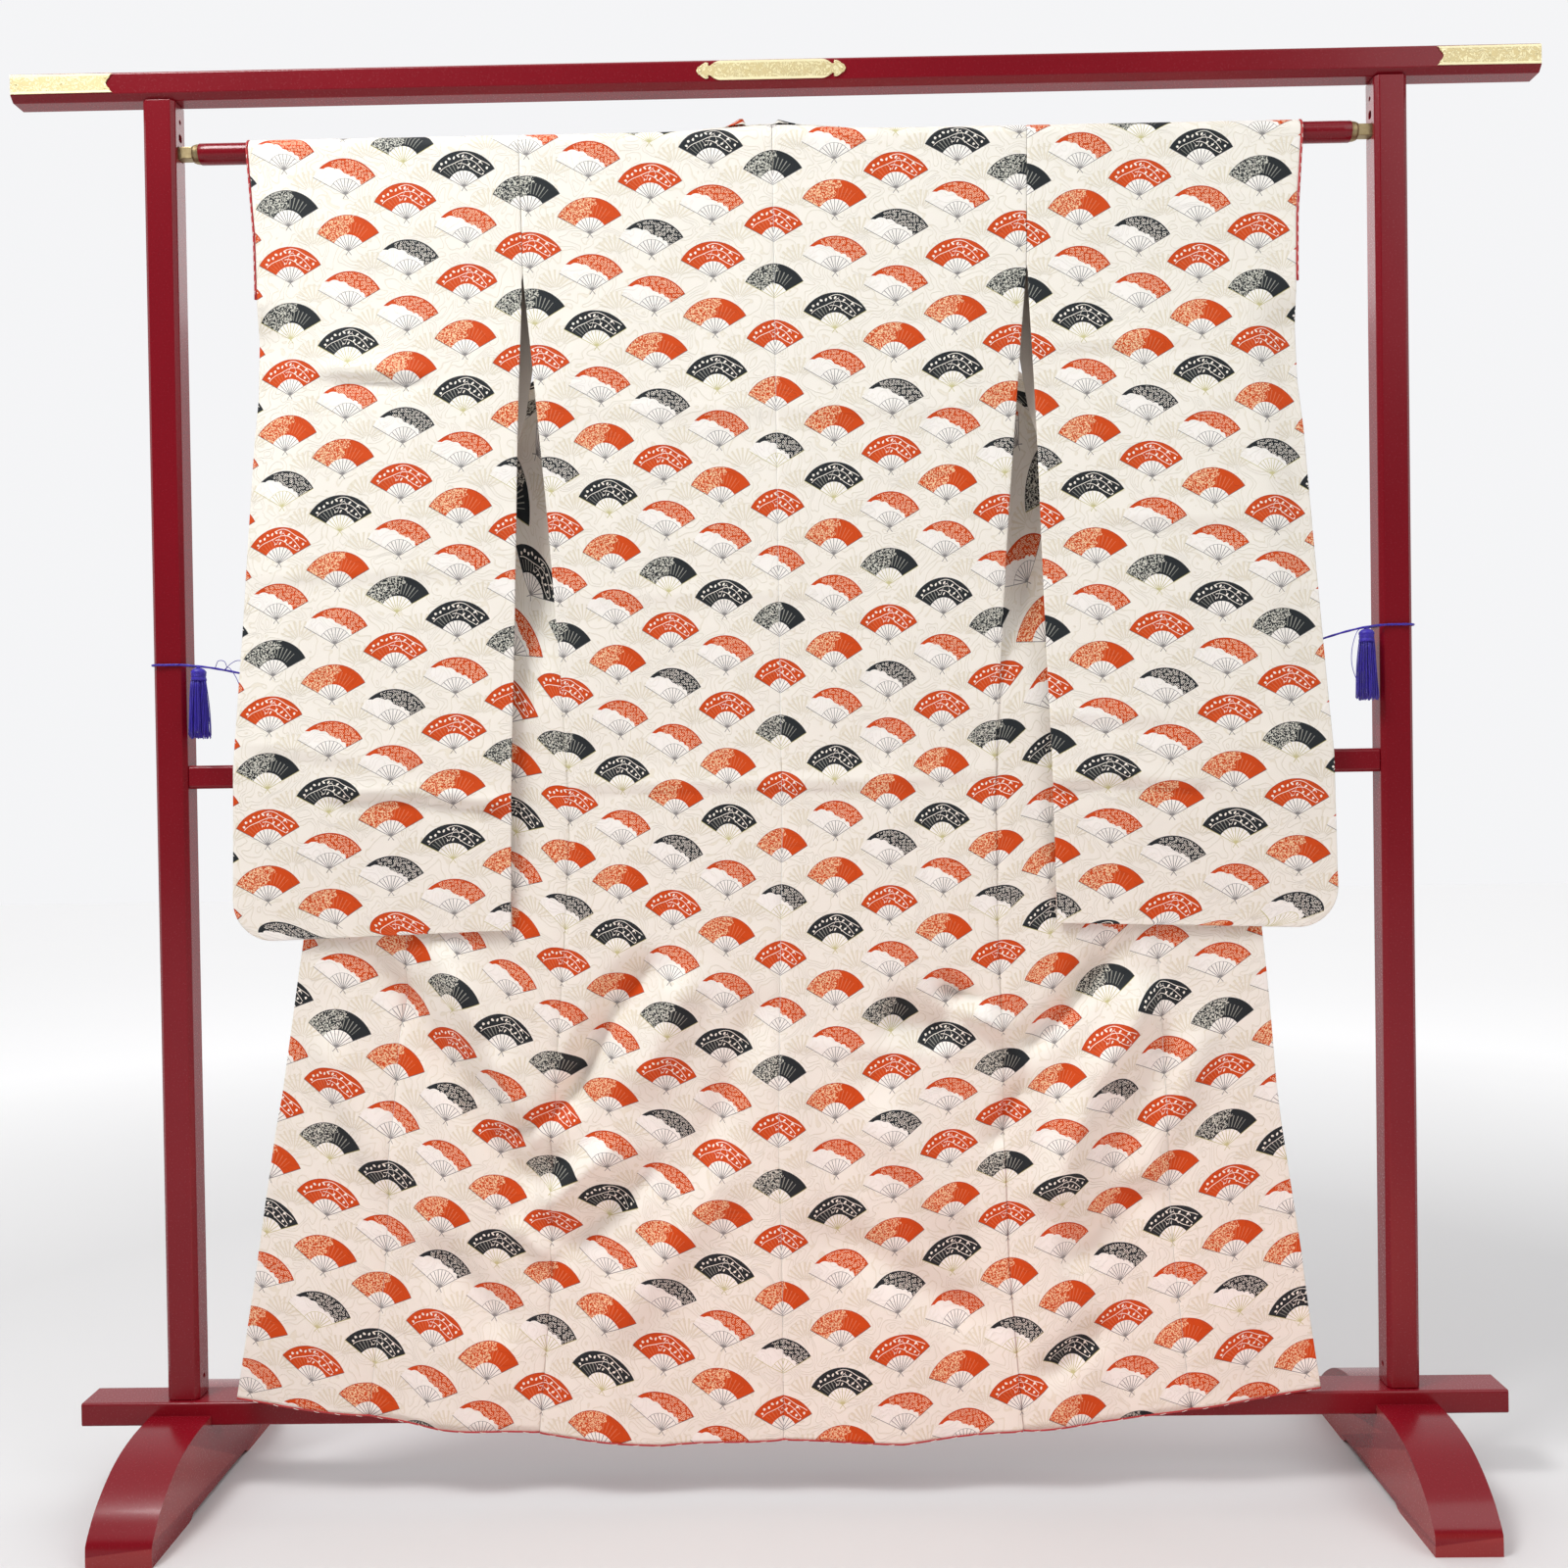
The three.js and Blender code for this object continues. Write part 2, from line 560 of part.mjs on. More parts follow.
// Foot: a long arch, flat pads below its two ends, with a seat for the board on top.
function foot(side) {
  const r = FOOT.round;
  const top = [
    { y: 26, z: FOOT.shoulder },
    { y: 80, z: 95 },
    { y: 122, z: 86 },
    { y: 154, z: 71 },
    { y: 182, z: 51 },
    { y: 200, z: 31 },
  ];
  const s = new THREE.Shape();
  s.moveTo(-FOOT.reach + r, r);
  s.lineTo(-FOOT.pad, r);
  s.lineTo(-FOOT.pad + 14, FOOT.arch + r);
  s.lineTo(FOOT.pad - 14, FOOT.arch + r);
  s.lineTo(FOOT.pad, r);
  s.lineTo(FOOT.reach - r, r);
  for (const p of [...top].reverse()) s.lineTo(p.y - r * 0.7, p.z - r);
  for (const p of top) s.lineTo(-p.y + r * 0.7, p.z - r);
  const g = new THREE.ExtrudeGeometry(s, {
    depth: 2 * (FOOT.halfWide - r), bevelEnabled: true, bevelThickness: r, bevelSize: r, bevelSegments: 2,
  });
  g.rotateX(Math.PI / 2).rotateZ(Math.PI / 2).translate(side * POST.x - FOOT.halfWide + r, 0, 0);
  const seat = boxAt(side * POST.x, 0, FOOT.seat + 20, 100, 2 * (BOARD.halfDeep + GAP), 40);
  return fromSolid(toSolid(g).subtract(toSolid(seat)));
}

// Brass plates let flush on the beam's face, with shaped ends.
function endPlate(side) {
  const middle = (PLATE.low + PLATE.high) / 2;
  const outer = BEAM.half - 1;
  const inner = BEAM.half - PLATE.end;
  const s = new THREE.Shape();
  s.moveTo(outer, PLATE.low);
  s.lineTo(outer, PLATE.high);
  s.lineTo(inner + 5, PLATE.high);
  s.lineTo(inner, PLATE.high - 4);
  s.lineTo(inner + 6, middle + 3);
  s.lineTo(inner + 7.5, middle);
  s.lineTo(inner + 6, middle - 3);
  s.lineTo(inner, PLATE.low + 4);
  s.lineTo(inner + 5, PLATE.low);
  return plateFrom(s, side);
}

function centrePlate() {
  const middle = (PLATE.low + PLATE.high) / 2;
  const half = (PLATE.high - PLATE.low) / 2;
  const quarter = [
    { x: PLATE.centre, z: 0 },
    { x: PLATE.centre - 4, z: half * 0.42 },
    { x: PLATE.centre - 12, z: half * 0.5 },
    { x: PLATE.centre - 17, z: half * 0.72 },
    { x: PLATE.centre - 24, z: half * 0.8 },
    { x: PLATE.centre - 30, z: half },
  ];
  const s = new THREE.Shape();
  s.moveTo(quarter[0].x, middle);
  for (const p of quarter.slice(1)) s.lineTo(p.x, middle + p.z);
  for (const p of [...quarter].reverse()) s.lineTo(-p.x, middle + p.z);
  for (const p of quarter.slice(1)) s.lineTo(-p.x, middle - p.z);
  for (const p of [...quarter].reverse().slice(0, -1)) s.lineTo(p.x, middle - p.z);
  return plateFrom(s, 1);
}

function plateFrom(shape, side) {
  const g = new THREE.ExtrudeGeometry(shape, { depth: PLATE.thick, bevelEnabled: false });
  g.rotateX(Math.PI / 2).translate(0, -BEAM.halfDeep - GAP, 0);
  if (side < 0) g.rotateZ(Math.PI).translate(0, -2 * (BEAM.halfDeep + GAP) - PLATE.thick, 0);
  return g;
}

// ---------- cord and tassels ----------
const section = (radius, sides) => new THREE.Shape(steps(0, sides - 1, sides - 1).map((i) => {
  const a = (2 * Math.PI * (i + 0.5)) / sides;
  return new THREE.Vector2(radius * Math.cos(a), radius * Math.sin(a));
}));

function ropeAlong(points, count) {
  const path = new THREE.CatmullRomCurve3(points.map((p) => new THREE.Vector3(...p)), false, 'centripetal');
  return new THREE.ExtrudeGeometry(section(CORD.radius, CORD.sides), {
    steps: count, extrudePath: path, bevelEnabled: false,
  });
}

const CORD_ROUTE = [
  [-743.2, -21, 1030],
  [-732, -21.2, 1029],
  [-719.5, -20.6, 1027.8],
  [-706, -17.5, 1026],
  [-690, -12, 1023],
  [-665, -4, 1017.5],
  [-625, 4, 1008],
  [-575, 9, 997],
  [-500, 12, 983],
  [-400, 13, 968],
  [-280, 13, 956],
  [-150, 13, 948],
  [-20, 13, 946],
  [110, 13, 950],
  [240, 13, 959],
  [360, 13, 972],
  [470, 12, 988],
  [565, 9, 1006],
  [625, 4, 1023],
  [665, -4, 1039],
  [690, -12, 1047],
  [706, -17.5, 1051],
  [719.5, -20.6, 1053.6],
  [732, -21.2, 1055],
  [743.2, -21, 1056],
];

// The cord's turn round a post, open by a hair under the tie.
function cordLoop(side) {
  const z = side < 0 ? CORD.left : CORD.right;
  const off = CORD.radius + GAP;
  const a = POST.halfWide + off;
  const b = POST.halfDeep + off;
  const c = POST.chamfer + 1;
  const start = a - c - 1;
  const ring = [
    [start - 1, -b], [start - 12, -b], [0, -b], [-a + c, -b], [-a, -b + c], [-a, 0], [-a, b - c],
    [-a + c, b], [0, b], [a - c, b], [a, b - c], [a, 0], [a, -b + c + 1],
  ];
  return ropeAlong(ring.map(([x, y]) => [side * (POST.x - x), y, z]), 30);
}

// A tassel: a bound head with strands whose roots lie in it.
function tassel(side) {
  const top = side < 0 ? CORD.left - TASSEL.fall[0] : CORD.right - TASSEL.fall[1];
  const headShape = [
    { r: 0, z: 0 }, { r: 5, z: -0.6 }, { r: 8.4, z: -3 }, { r: 9.2, z: -6 }, { r: 8.2, z: -9 },
    { r: 8.6, z: -TASSEL.head }, { r: 9.6, z: -TASSEL.head - 5 }, { r: 0, z: -TASSEL.head - 5 },
  ];
  const lathe = new THREE.LatheGeometry(headShape.map((p) => new THREE.Vector2(p.r, p.z)).reverse(), 12);
  let solid = toSolid(lathe.rotateX(Math.PI / 2));
  TASSEL.strands.forEach((count, ring) => {
    for (let i = 0; i < count; i++) {
      const a = (2 * Math.PI * (i + 0.5 * ring)) / count;
      const root = 1.6 + 3.1 * ring;
      const tip = 3 + 4.9 * ring + 0.5 * Math.sin(i * 2.3);
      const low = -TASSEL.skirt + 2.5 * Math.sin(i * 1.7 + ring);
      solid = solid.add(toSolid(strand(a, root, tip, low)));
    }
  });
  return fromSolid(solid).translate(side * TASSEL.x, TASSEL.y, top);
}

function strand(angle, root, tip, low) {
  const rows = [
    { r: root, z: -TASSEL.head, w: 0.9 },
    { r: root + (tip - root) * 0.55, z: -TASSEL.head - 22, w: 0.95 },
    { r: tip, z: low, w: 0.8 },
  ];
  const points = [];
  for (const row of rows) {
    for (let k = 0; k < 3; k++) {
      const b = angle + (2 * Math.PI * k) / 3;
      points.push(row.r * Math.cos(angle) + row.w * Math.cos(b), row.r * Math.sin(angle) + row.w * Math.sin(b),
        row.z);
    }
  }
  const faces = [0, 1, 2, 6, 8, 7];
  for (let i = 0; i < 2; i++) {
    for (let k = 0; k < 3; k++) {
      const a = i * 3 + k;
      const b = i * 3 + ((k + 1) % 3);
      faces.push(a, a + 3, b, b, a + 3, b + 3);
    }
  }
  return outward(new Float32Array(points), faces);
}

function stand() {
  add('top_beam', beam(), LACQUER);
  add('pole', pole(), LACQUER);
  add('mid_rail', midRail(), LACQUER);
  add('base_board', baseBoard(), LACQUER);
  add('centre_plate', centrePlate(), BRASS);
  for (const side of [-1, 1]) {
    add(`post_${sideName(side)}`, post(side), LACQUER);
    add(`foot_${sideName(side)}`, foot(side), LACQUER);
    add(`end_plate_${sideName(side)}`, endPlate(side), BRASS);
    add(`cord_loop_${sideName(side)}`, cordLoop(side), VIOLET);
    add(`tassel_${sideName(side)}`, tassel(side), VIOLET);
  }
  add('cord_span', ropeAlong(CORD_ROUTE, 72), VIOLET);
}

garment();
stand();

export default kimonoStand;
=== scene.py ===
"""Furisode kimono hung by its sleeves on the pole of a lacquered kimono stand.

Lengths are millimetres while a piece is worked out and metres in its mesh. +Z is up, +X runs
along the pole, and the back of the kimono faces -Y.
"""
import math

import bmesh
import bpy
import numpy as np
from mathutils import Matrix, Vector


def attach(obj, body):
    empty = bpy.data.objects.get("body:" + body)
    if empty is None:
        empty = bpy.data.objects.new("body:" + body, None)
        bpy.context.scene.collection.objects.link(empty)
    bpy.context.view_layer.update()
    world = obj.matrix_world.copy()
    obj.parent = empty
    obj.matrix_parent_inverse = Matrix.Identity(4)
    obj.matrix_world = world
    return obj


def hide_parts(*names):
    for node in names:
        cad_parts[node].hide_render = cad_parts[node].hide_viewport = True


bl_info = {
    "name": "Kimono on a Stand",
    "version": (1, 0, 0),
    "blender": (4, 5, 0),
    "location": "3D View > Sidebar > Kimono",
    "description": "Builds a long-sleeved kimono hung on a lacquered stand, piece by piece",
    "category": "Add Mesh",
}

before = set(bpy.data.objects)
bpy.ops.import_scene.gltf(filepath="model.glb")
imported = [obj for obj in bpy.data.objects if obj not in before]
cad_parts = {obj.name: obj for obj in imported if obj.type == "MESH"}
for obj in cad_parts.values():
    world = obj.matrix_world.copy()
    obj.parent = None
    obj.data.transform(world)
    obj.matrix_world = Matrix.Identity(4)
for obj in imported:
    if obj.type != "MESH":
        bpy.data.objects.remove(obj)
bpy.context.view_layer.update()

MM = 0.001

# ---------------------------------------------------------------- sizes of the cloth, as it was cut
POLE_Z = 1666.0
RIDGE = 14.3
NECK = 90.0
COLLAR = 55.0
COLLAR_STAND = 3.0
COLLAR_END = 900.0
OKUMI_TIP = 1380.0
FOLD_START = 1606.0
FOLD_END = 950.0
FOLD_ROLL = 12.0
ARM_SEAM = 1506.0
CUFF_END = 1480.0
HEM = 70.0
SLEEVE_FOOT = 688.0
SLEEVE_ROUND = 50.0
SEAM = 0.3
FRONT_WIDTH = 223.0        # a front at the shoulder
SLEEVE_WIDTH = 336.0       # a sleeve's cloth from edge to edge
FOLD_OPEN = 1470.0         # below it the collar has turned right over
SKIRT_TOP = 700.0          # below it the cloth spreads towards the hem
POLE_TURNS = np.linspace(0, math.pi, 15)[1:-1]   # angles of the rows that lie over the pole

# Body by height: half width at the side seam, widths of the front and of the overlap panel.
BODY_CUT = np.array([
    (70, 299, 210, 163),
    (270, 282, 205, 157),
    (480, 277, 197, 138),
    (690, 266, 196, 127),
    (850, 262, 200, 118),
    (1000, 270, 205, 86),
    (1200, 284, 212, 43),
    (1400, 301, 218, 1),
    (1500, 310, 220, 0),
    (1680, 313, 223, 0),
], float)

# Sleeve by height: its two long edges.
SLEEVE_CUT = np.array([
    (688, 335, 678),
    (900, 330, 674),
    (1058, 325, 663),
    (1299, 319, 648),
    (1360, 317, 642),
    (1476, 312, 640),
    (1560, 312, 641),
    (1680, 313, 649),
], float)

# Depth by height: back, front, the sleeve's back layer and its front layer.
DEPTH = np.array([
    (70, -42, -39.6, -42, -39.6),
    (690, -28, -25.6, -34.6, -32.2),
    (905, -23, -20.6, -38.5, -27),
    (950, -22.4, -20, -36, -24.5),
    (1500, -RIDGE, RIDGE, -RIDGE, RIDGE),
    (1680, -RIDGE, RIDGE, -RIDGE, RIDGE),
], float)

# Height of the hem by distance from the centre.
HEM_LINE = np.array([(0, 72), (150, 67), (300, 82), (420, 91), (506, 105), (600, 116), (680, 128)], float)

# Upright waves of the skirt: place, width and depth.
SKIRT_FOLDS = (
    (-560, 70, 9), (-395, 60, 16), (-205, 75, 13), (-35, 60, 7), (130, 80, 12), (330, 65, 15), (520, 70, 10),
)

# Creases of the body: start and end in width and height, then half width and depth.
BODY_CREASES = (
    (-512, 690, -445, 576, 22, -7.0),
    (-445, 576, -365, 470, 24, -6.0),
    (-425, 690, -350, 548, 24, 8.0),
    (-350, 548, -285, 430, 24, 9.0),
    (-385, 470, -298, 372, 15, -5.0),
    (-160, 665, -212, 590, 24, -8.0),
    (-212, 590, -262, 478, 20, -10.0),
    (-262, 478, -330, 440, 15, -5.0),
    (-110, 640, -175, 500, 30, 6.0),
    (-205, 430, -292, 350, 17, 7.0),
    (-150, 410, -262, 300, 22, -6.0),
    (-330, 330, -280, 290, 14, 4.5),
    (-60, 400, -215, 205, 34, 4.5),
    (-560, 560, -480, 380, 28, 4.5),
    (-430, 300, -340, 190, 30, -5.0),
    (-30, 600, -85, 430, 26, -4.0),
    (425, 690, 357, 592, 22, -8.0),
    (357, 592, 300, 540, 18, -7.0),
    (450, 610, 380, 486, 28, 9.0),
    (380, 486, 330, 350, 30, 8.0),
    (196, 625, 243, 592, 13, -7.0),
    (222, 600, 276, 562, 12, 7.5),
    (130, 590, 205, 560, 28, -7.0),
    (300, 500, 262, 420, 15, -5.0),
    (454, 363, 357, 270, 24, -6.0),
    (401, 190, 322, 130, 22, -5.0),
    (520, 560, 430, 330, 30, 4.5),
    (120, 480, 215, 330, 34, 5.0),
    (60, 330, 245, 205, 30, -5.0),
    (-20, 560, 40, 330, 40, 3.5),
)

CREASE_DEPTH = 3.5          # times the depths above
CREASE_WIDTH = 0.86         # times the half widths above
PRESSED_DEPTH = 2.6         # times the steps below
SEAM_DEPTH = 1.9            # how far a seam draws the skirt in
SEAM_REACH = 7.0            # and how far beside it

# Lines pressed into the cloth while it lay folded: start, end, half width, height of the step.
BODY_PRESSED = (
    (-262, 872, -60, 866, 5.0, 1.8),
    (-70, 867, 245, 874, 5.0, 2.2),
    (-250, 1098, 30, 1102, 6.0, 0.8),
    (27, 546, 256, 527, 5.0, 1.6),
    (-215, 1330, 200, 1326, 7.0, 0.8),
)
LEFT_SLEEVE_PRESSED = (
    (-560, 1384, -440, 1380, 6.0, 3.2),
    (-655, 925, -520, 905, 7.0, 1.2),
    (-560, 862, -440, 860, 5.0, 2.6),
    (-450, 860, -330, 842, 6.0, 3.0),
    (-640, 1130, -400, 1136, 8.0, 0.8),
)
RIGHT_SLEEVE_PRESSED = (
    (322, 862, 420, 868, 5.0, 2.6),
    (410, 868, 520, 860, 6.0, 2.2),
    (335, 944, 470, 940, 7.0, 1.4),
    (400, 1188, 640, 1180, 8.0, 0.8),
    (330, 1400, 520, 1406, 8.0, 0.9),
)

# Edge of the neck and free edge of the collar: distance from the centre and way down behind the pole.
NECK_CURVE = np.array([
    (89.5, 76, 34.6, 76),
    (89.4, 50, 33.5, 68),
    (89.2, 26, 31, 63),
    (88, 12, 29, 60),
    (86, 1.2, 27, 58),
    (62, 1.2, 20, 56),
    (46, 1.2, 16, 55),
    (34, 1.2, 12, 55),
    (20, 1.2, 8, 55),
    (0, 1.2, 0, 55),
], float)

# ---------------------------------------------------------------- sizes of the print
FAN_COLUMN = 74.5          # one column of fans to the next
FAN_ROW = 69.5             # one fan to the next below it
PRINT_HEIGHT = 1259.6      # height of one pivot on the centre seam
FAN_OUTER = 45.0
FAN_INNER = 20.5
FAN_SPREAD = math.radians(60.5)
RIM = 0.9                  # width of the dark line round the paper
RIM_ANGLE = 0.016          # the same at its two sides, in radians
RIBS = 8                   # spaces between the ribs of one fan
FAN_FOOT = 0.22            # share of a row that a fan takes below its pivot
BORDER_HEIGHT = 21.0       # the border between two columns of fans waves: where and how far
BORDER_WAVE = 7.0
GHOST_PLACE = (30.0, 43.0)  # the woven fans lie beside the printed ones
# How far the waves lift the print: heights and lifts at the side seams and the overlaps.
PRINT_LIFT = {
    (-1, "seam"): ((70, 240, 450, 640, 900, 1300), (42, 52, 38, 20, 8, 0)),
    (1, "seam"): ((70, 200, 330, 430, 520, 640, 900), (26, 28, 34, 22, 12, 8, 0)),
    (-1, "okumi"): ((70, 180, 650, 950), (32, 34, 64, 64)),
    (1, "okumi"): ((70, 180, 650, 950), (10, 12, 34, 34)),
}
# Kinds of fan down each of four columns: A half marbled, B plum boughs, C cloud; r red, k black.
FAN_CHART = (
    "Ak Br Ak Br Ar Ck Br Cr",
    "Cr Ar Cr Bk Cr Ar Bk Ar",
    "Ak Br Ck Cr Ar Ck Br Cr",
    "Bk Cr Br Ar Bk Cr Ar Cr",
)
CHART_START = 2.0          # each column starts a fan further down than the last, up to this
CHART_TURN = 2.0           # each repeat of the chart starts two fans further down

# ---------------------------------------------------------------- sizes of the cord
CORD_ROUTE = (
    (-743.2, -21, 1030), (-732, -21.2, 1029), (-719.5, -20.6, 1027.8), (-706, -17.5, 1026), (-690, -12, 1023),
    (-665, -4, 1017.5), (-625, 4, 1008), (-575, 9, 997), (-500, 12, 983), (-400, 13, 968), (-280, 13, 956),
    (-150, 13, 948), (-20, 13, 946), (110, 13, 950), (240, 13, 959), (360, 13, 972), (470, 12, 988),
    (565, 9, 1006), (625, 4, 1023), (665, -4, 1039), (690, -12, 1047), (706, -17.5, 1051),
    (719.5, -20.6, 1053.6), (732, -21.2, 1055), (743.2, -21, 1056),
)
CORD_RADIUS = 1.5
TIE_HEIGHT = {-1: 1030.0, 1: 1056.0}
TASSEL_PLACE = (719.5, -20.6)
TASSEL_DROP = {-1: 4.03, 1: 4.52}

# ---------------------------------------------------------------- sizes of the stand
POST_X = 757.5
FOOT_TOP = ((0, 98), (26, 98), (80, 95), (122, 86), (154, 71), (182, 51), (200, 31))
PLATE = {"low": 1736.0, "high": 1759.6, "face": -20.3, "thick": 1.2}


# ================================================================ settings
class ClothSettings(bpy.types.PropertyGroup):
    """Sizes and colours of the kimono"""

    thickness: bpy.props.FloatProperty(
        name="Thickness", description="Silk and lining together", default=0.0015, min=0.0008, max=0.002,
        unit="LENGTH")
    spacing: bpy.props.FloatProperty(
        name="Spacing", description="Distance between the points of the cloth", default=0.0075, min=0.004,
        max=0.03, unit="LENGTH")
    ivory: bpy.props.FloatVectorProperty(
        name="Ivory", description="Ground of the silk", default=(0.88, 0.855, 0.775), subtype="COLOR")
    vermilion: bpy.props.FloatVectorProperty(
        name="Vermilion", description="Red fans", default=(0.60, 0.062, 0.003), subtype="COLOR")
    charcoal: bpy.props.FloatVectorProperty(
        name="Charcoal", description="Black fans", default=(0.012, 0.016, 0.019), subtype="COLOR")
    lining: bpy.props.FloatVectorProperty(
        name="Lining", description="Red silk at hem and cuffs", default=(0.42, 0.016, 0.018), subtype="COLOR")


class StandSettings(bpy.types.PropertyGroup):
    """Sizes and colours of the stand"""

    edge: bpy.props.FloatProperty(
        name="Edge", description="Rounding of the lacquered edges", default=0.0012, min=0.0003, max=0.002,
        unit="LENGTH")
    lacquer: bpy.props.FloatVectorProperty(
        name="Lacquer", description="Maroon lacquer", default=(0.19, 0.0035, 0.010), subtype="COLOR")
    brass: bpy.props.FloatVectorProperty(
        name="Brass", description="Pale gilt brass", default=(1.0, 0.93, 0.60), subtype="COLOR")


class CordSettings(bpy.types.PropertyGroup):
    """Cord and tassels"""

    violet: bpy.props.FloatVectorProperty(
        name="Violet", description="Violet silk", default=(0.030, 0.012, 0.36), subtype="COLOR")
    strands: bpy.props.IntProperty(
        name="Strands", description="Strands of one tassel", default=120, min=40, max=125)


class StageSettings(bpy.types.PropertyGroup):
    """Floor and light"""

    floor: bpy.props.FloatVectorProperty(
        name="Floor", description="Pale floor", default=(0.66, 0.656, 0.655), subtype="COLOR")
    key: bpy.props.FloatProperty(
        name="Key light", description="Power of the large light", default=76.0, min=0.0, unit="POWER")


# ================================================================ node helpers
def node(tree, kind, inputs=(), **settings):
    """Adds a node, sets it up and feeds its inputs with sockets or values."""
    made = tree.nodes.new(kind)
    for name, value in settings.items():
        setattr(made, name, value)
    for key, value in dict(inputs).items():
        if isinstance(value, bpy.types.NodeSocket):
            tree.links.new(value, made.inputs[key])
        else:
            made.inputs[key].default_value = value
    return made


def calc(tree, operation, *values):
    """One step of arithmetic."""
    return node(tree, "ShaderNodeMath", enumerate(values), operation=operation).outputs[0]


def both(tree, *values):
    """1 where all the masks are 1."""
    result = values[0]
    for value in values[1:]:
        result = calc(tree, "MULTIPLY", result, value)
    return result


def below(tree, a, b):
    return calc(tree, "LESS_THAN", a, b)


def above(tree, a, b):
    return calc(tree, "GREATER_THAN", a, b)


def blend(tree, mask, first, second, mode="MIX"):
    """Mixes two colours."""
    made = node(tree, "ShaderNodeMix", data_type="RGBA", blend_type=mode, clamp_factor=True)
    for socket, value in (("Factor_Float", mask), ("A_Color", first), ("B_Color", second)):
        target = next(s for s in made.inputs if s.identifier == socket)
        if isinstance(value, bpy.types.NodeSocket):
            tree.links.new(value, target)
        else:
            target.default_value = value
    return next(s for s in made.outputs if s.identifier == "Result_Color")


def choose(tree, mask, no, yes):
    """Mixes two numbers."""
    made = node(tree, "ShaderNodeMix", data_type="FLOAT", clamp_factor=True)
    for socket, value in (("Factor_Float", mask), ("A_Float", no), ("B_Float", yes)):
        target = next(s for s in made.inputs if s.identifier == socket)
        if isinstance(value, bpy.types.NodeSocket):
            tree.links.new(value, target)
        else:
            target.default_value = value
    return made.outputs[0]


def noise(tree, place, scale, detail=1.0, distortion=0.0):
    made = node(tree, "ShaderNodeTexNoise", {
        "Vector": place, "Scale": scale, "Detail": detail, "Distortion": distortion})
    return made.outputs["Fac"]


def contour(tree, value, width):
    """Thin lines where a texture crosses its middle value."""
    return below(tree, calc(tree, "ABSOLUTE", calc(tree, "SUBTRACT", value, 0.5)), width)


def rgba(colour, gain=1.0):
    return (colour[0] * gain, colour[1] * gain, colour[2] * gain, 1.0)


def material(name, **sockets):
    """A material with one Principled shader; constants go straight on its sockets."""
    made = bpy.data.materials.new(name)
    made.use_nodes = True
    shader = made.node_tree.nodes["Principled BSDF"]
    for key, value in sockets.items():
        shader.inputs[key.replace("_", " ").title() if key != "ior" else "IOR"].default_value = value
    return made, made.node_tree, shader


# ================================================================ finishes
def fan_polar(tree, x, z, drop, seam=None):
    """Column and row of the nearest fan, the place beside its pivot, and distance and angle there."""
    first = calc(tree, "FLOOR", calc(tree, "DIVIDE", x, FAN_COLUMN))
    beyond = calc(tree, "SUBTRACT", x, calc(tree, "MULTIPLY", first, FAN_COLUMN))
    height = calc(tree, "ADD", z, calc(tree, "MULTIPLY", first, drop))
    widest = calc(tree, "SUBTRACT", BORDER_HEIGHT + FAN_ROW / 4, calc(tree, "MULTIPLY", drop, 0.5))
    turn = calc(tree, "MULTIPLY", calc(tree, "SUBTRACT", height, widest), 2 * math.pi / FAN_ROW)
    wave = calc(tree, "MULTIPLY", calc(tree, "COSINE", turn), BORDER_WAVE)
    border = calc(tree, "ADD", wave, FAN_COLUMN / 2)
    i = calc(tree, "ADD", first, above(tree, beyond, border))
    local_x = calc(tree, "SUBTRACT", x, calc(tree, "MULTIPLY", i, FAN_COLUMN))
    if seam is not None:
        middle = both(tree, below(tree, calc(tree, "ABSOLUTE", i), 0.5), seam)
        local_x = calc(tree, "ADD", local_x, calc(tree, "MULTIPLY", calc(tree, "SIGN", local_x), middle))
    stepped = calc(tree, "ADD", z, calc(tree, "MULTIPLY", i, drop))
    j = calc(tree, "FLOOR", calc(tree, "ADD", calc(tree, "DIVIDE", stepped, FAN_ROW), FAN_FOOT))
    local_z = calc(tree, "SUBTRACT", stepped, calc(tree, "MULTIPLY", j, FAN_ROW))
    squares = calc(tree, "ADD", calc(tree, "MULTIPLY", local_x, local_x), calc(tree, "MULTIPLY", local_z, local_z))
    return i, j, local_x, local_z, calc(tree, "SQRT", squares), calc(tree, "ARCTAN2", local_x, local_z)


def chart_lookup(tree, i, j, phase):
    """Kind of fan, black or red, and colour of the ribs, read from the chart."""
    kinds = " ".join(FAN_CHART).split()
    columns = float(len(FAN_CHART))
    fans = len(kinds) / columns
    column = calc(tree, "FLOORED_MODULO", i, columns)
    start = calc(tree, "MINIMUM", column, CHART_START)
    turn = calc(tree, "MULTIPLY", calc(tree, "FLOOR", calc(tree, "DIVIDE", i, columns)), CHART_TURN)
    place = calc(tree, "ADD", calc(tree, "SUBTRACT", calc(tree, "ADD", start, turn), j), phase)
    place = calc(tree, "FLOORED_MODULO", place, fans)
    cell = calc(tree, "ADD", calc(tree, "MULTIPLY", column, fans), calc(tree, "ADD", place, 0.5))
    ramp = node(tree, "ShaderNodeValToRGB", {"Fac": calc(tree, "DIVIDE", cell, float(len(kinds)))})
    ramp.color_ramp.interpolation = "CONSTANT"
    elements = ramp.color_ramp.elements
    while len(elements) < len(kinds):
        elements.new(0.5)
    for k, kind in enumerate(kinds):
        elements[k].position = k / len(kinds)
    for k, kind in enumerate(kinds):
        elements[k].color = ("ABC".index(kind[0]) / 2, float(kind[1] == "k"), float(k % 3 != 0), 1)
    split = node(tree, "ShaderNodeSeparateColor", {"Color": ramp.outputs["Color"]})
    return split.outputs["Red"], split.outputs["Green"], split.outputs["Blue"]


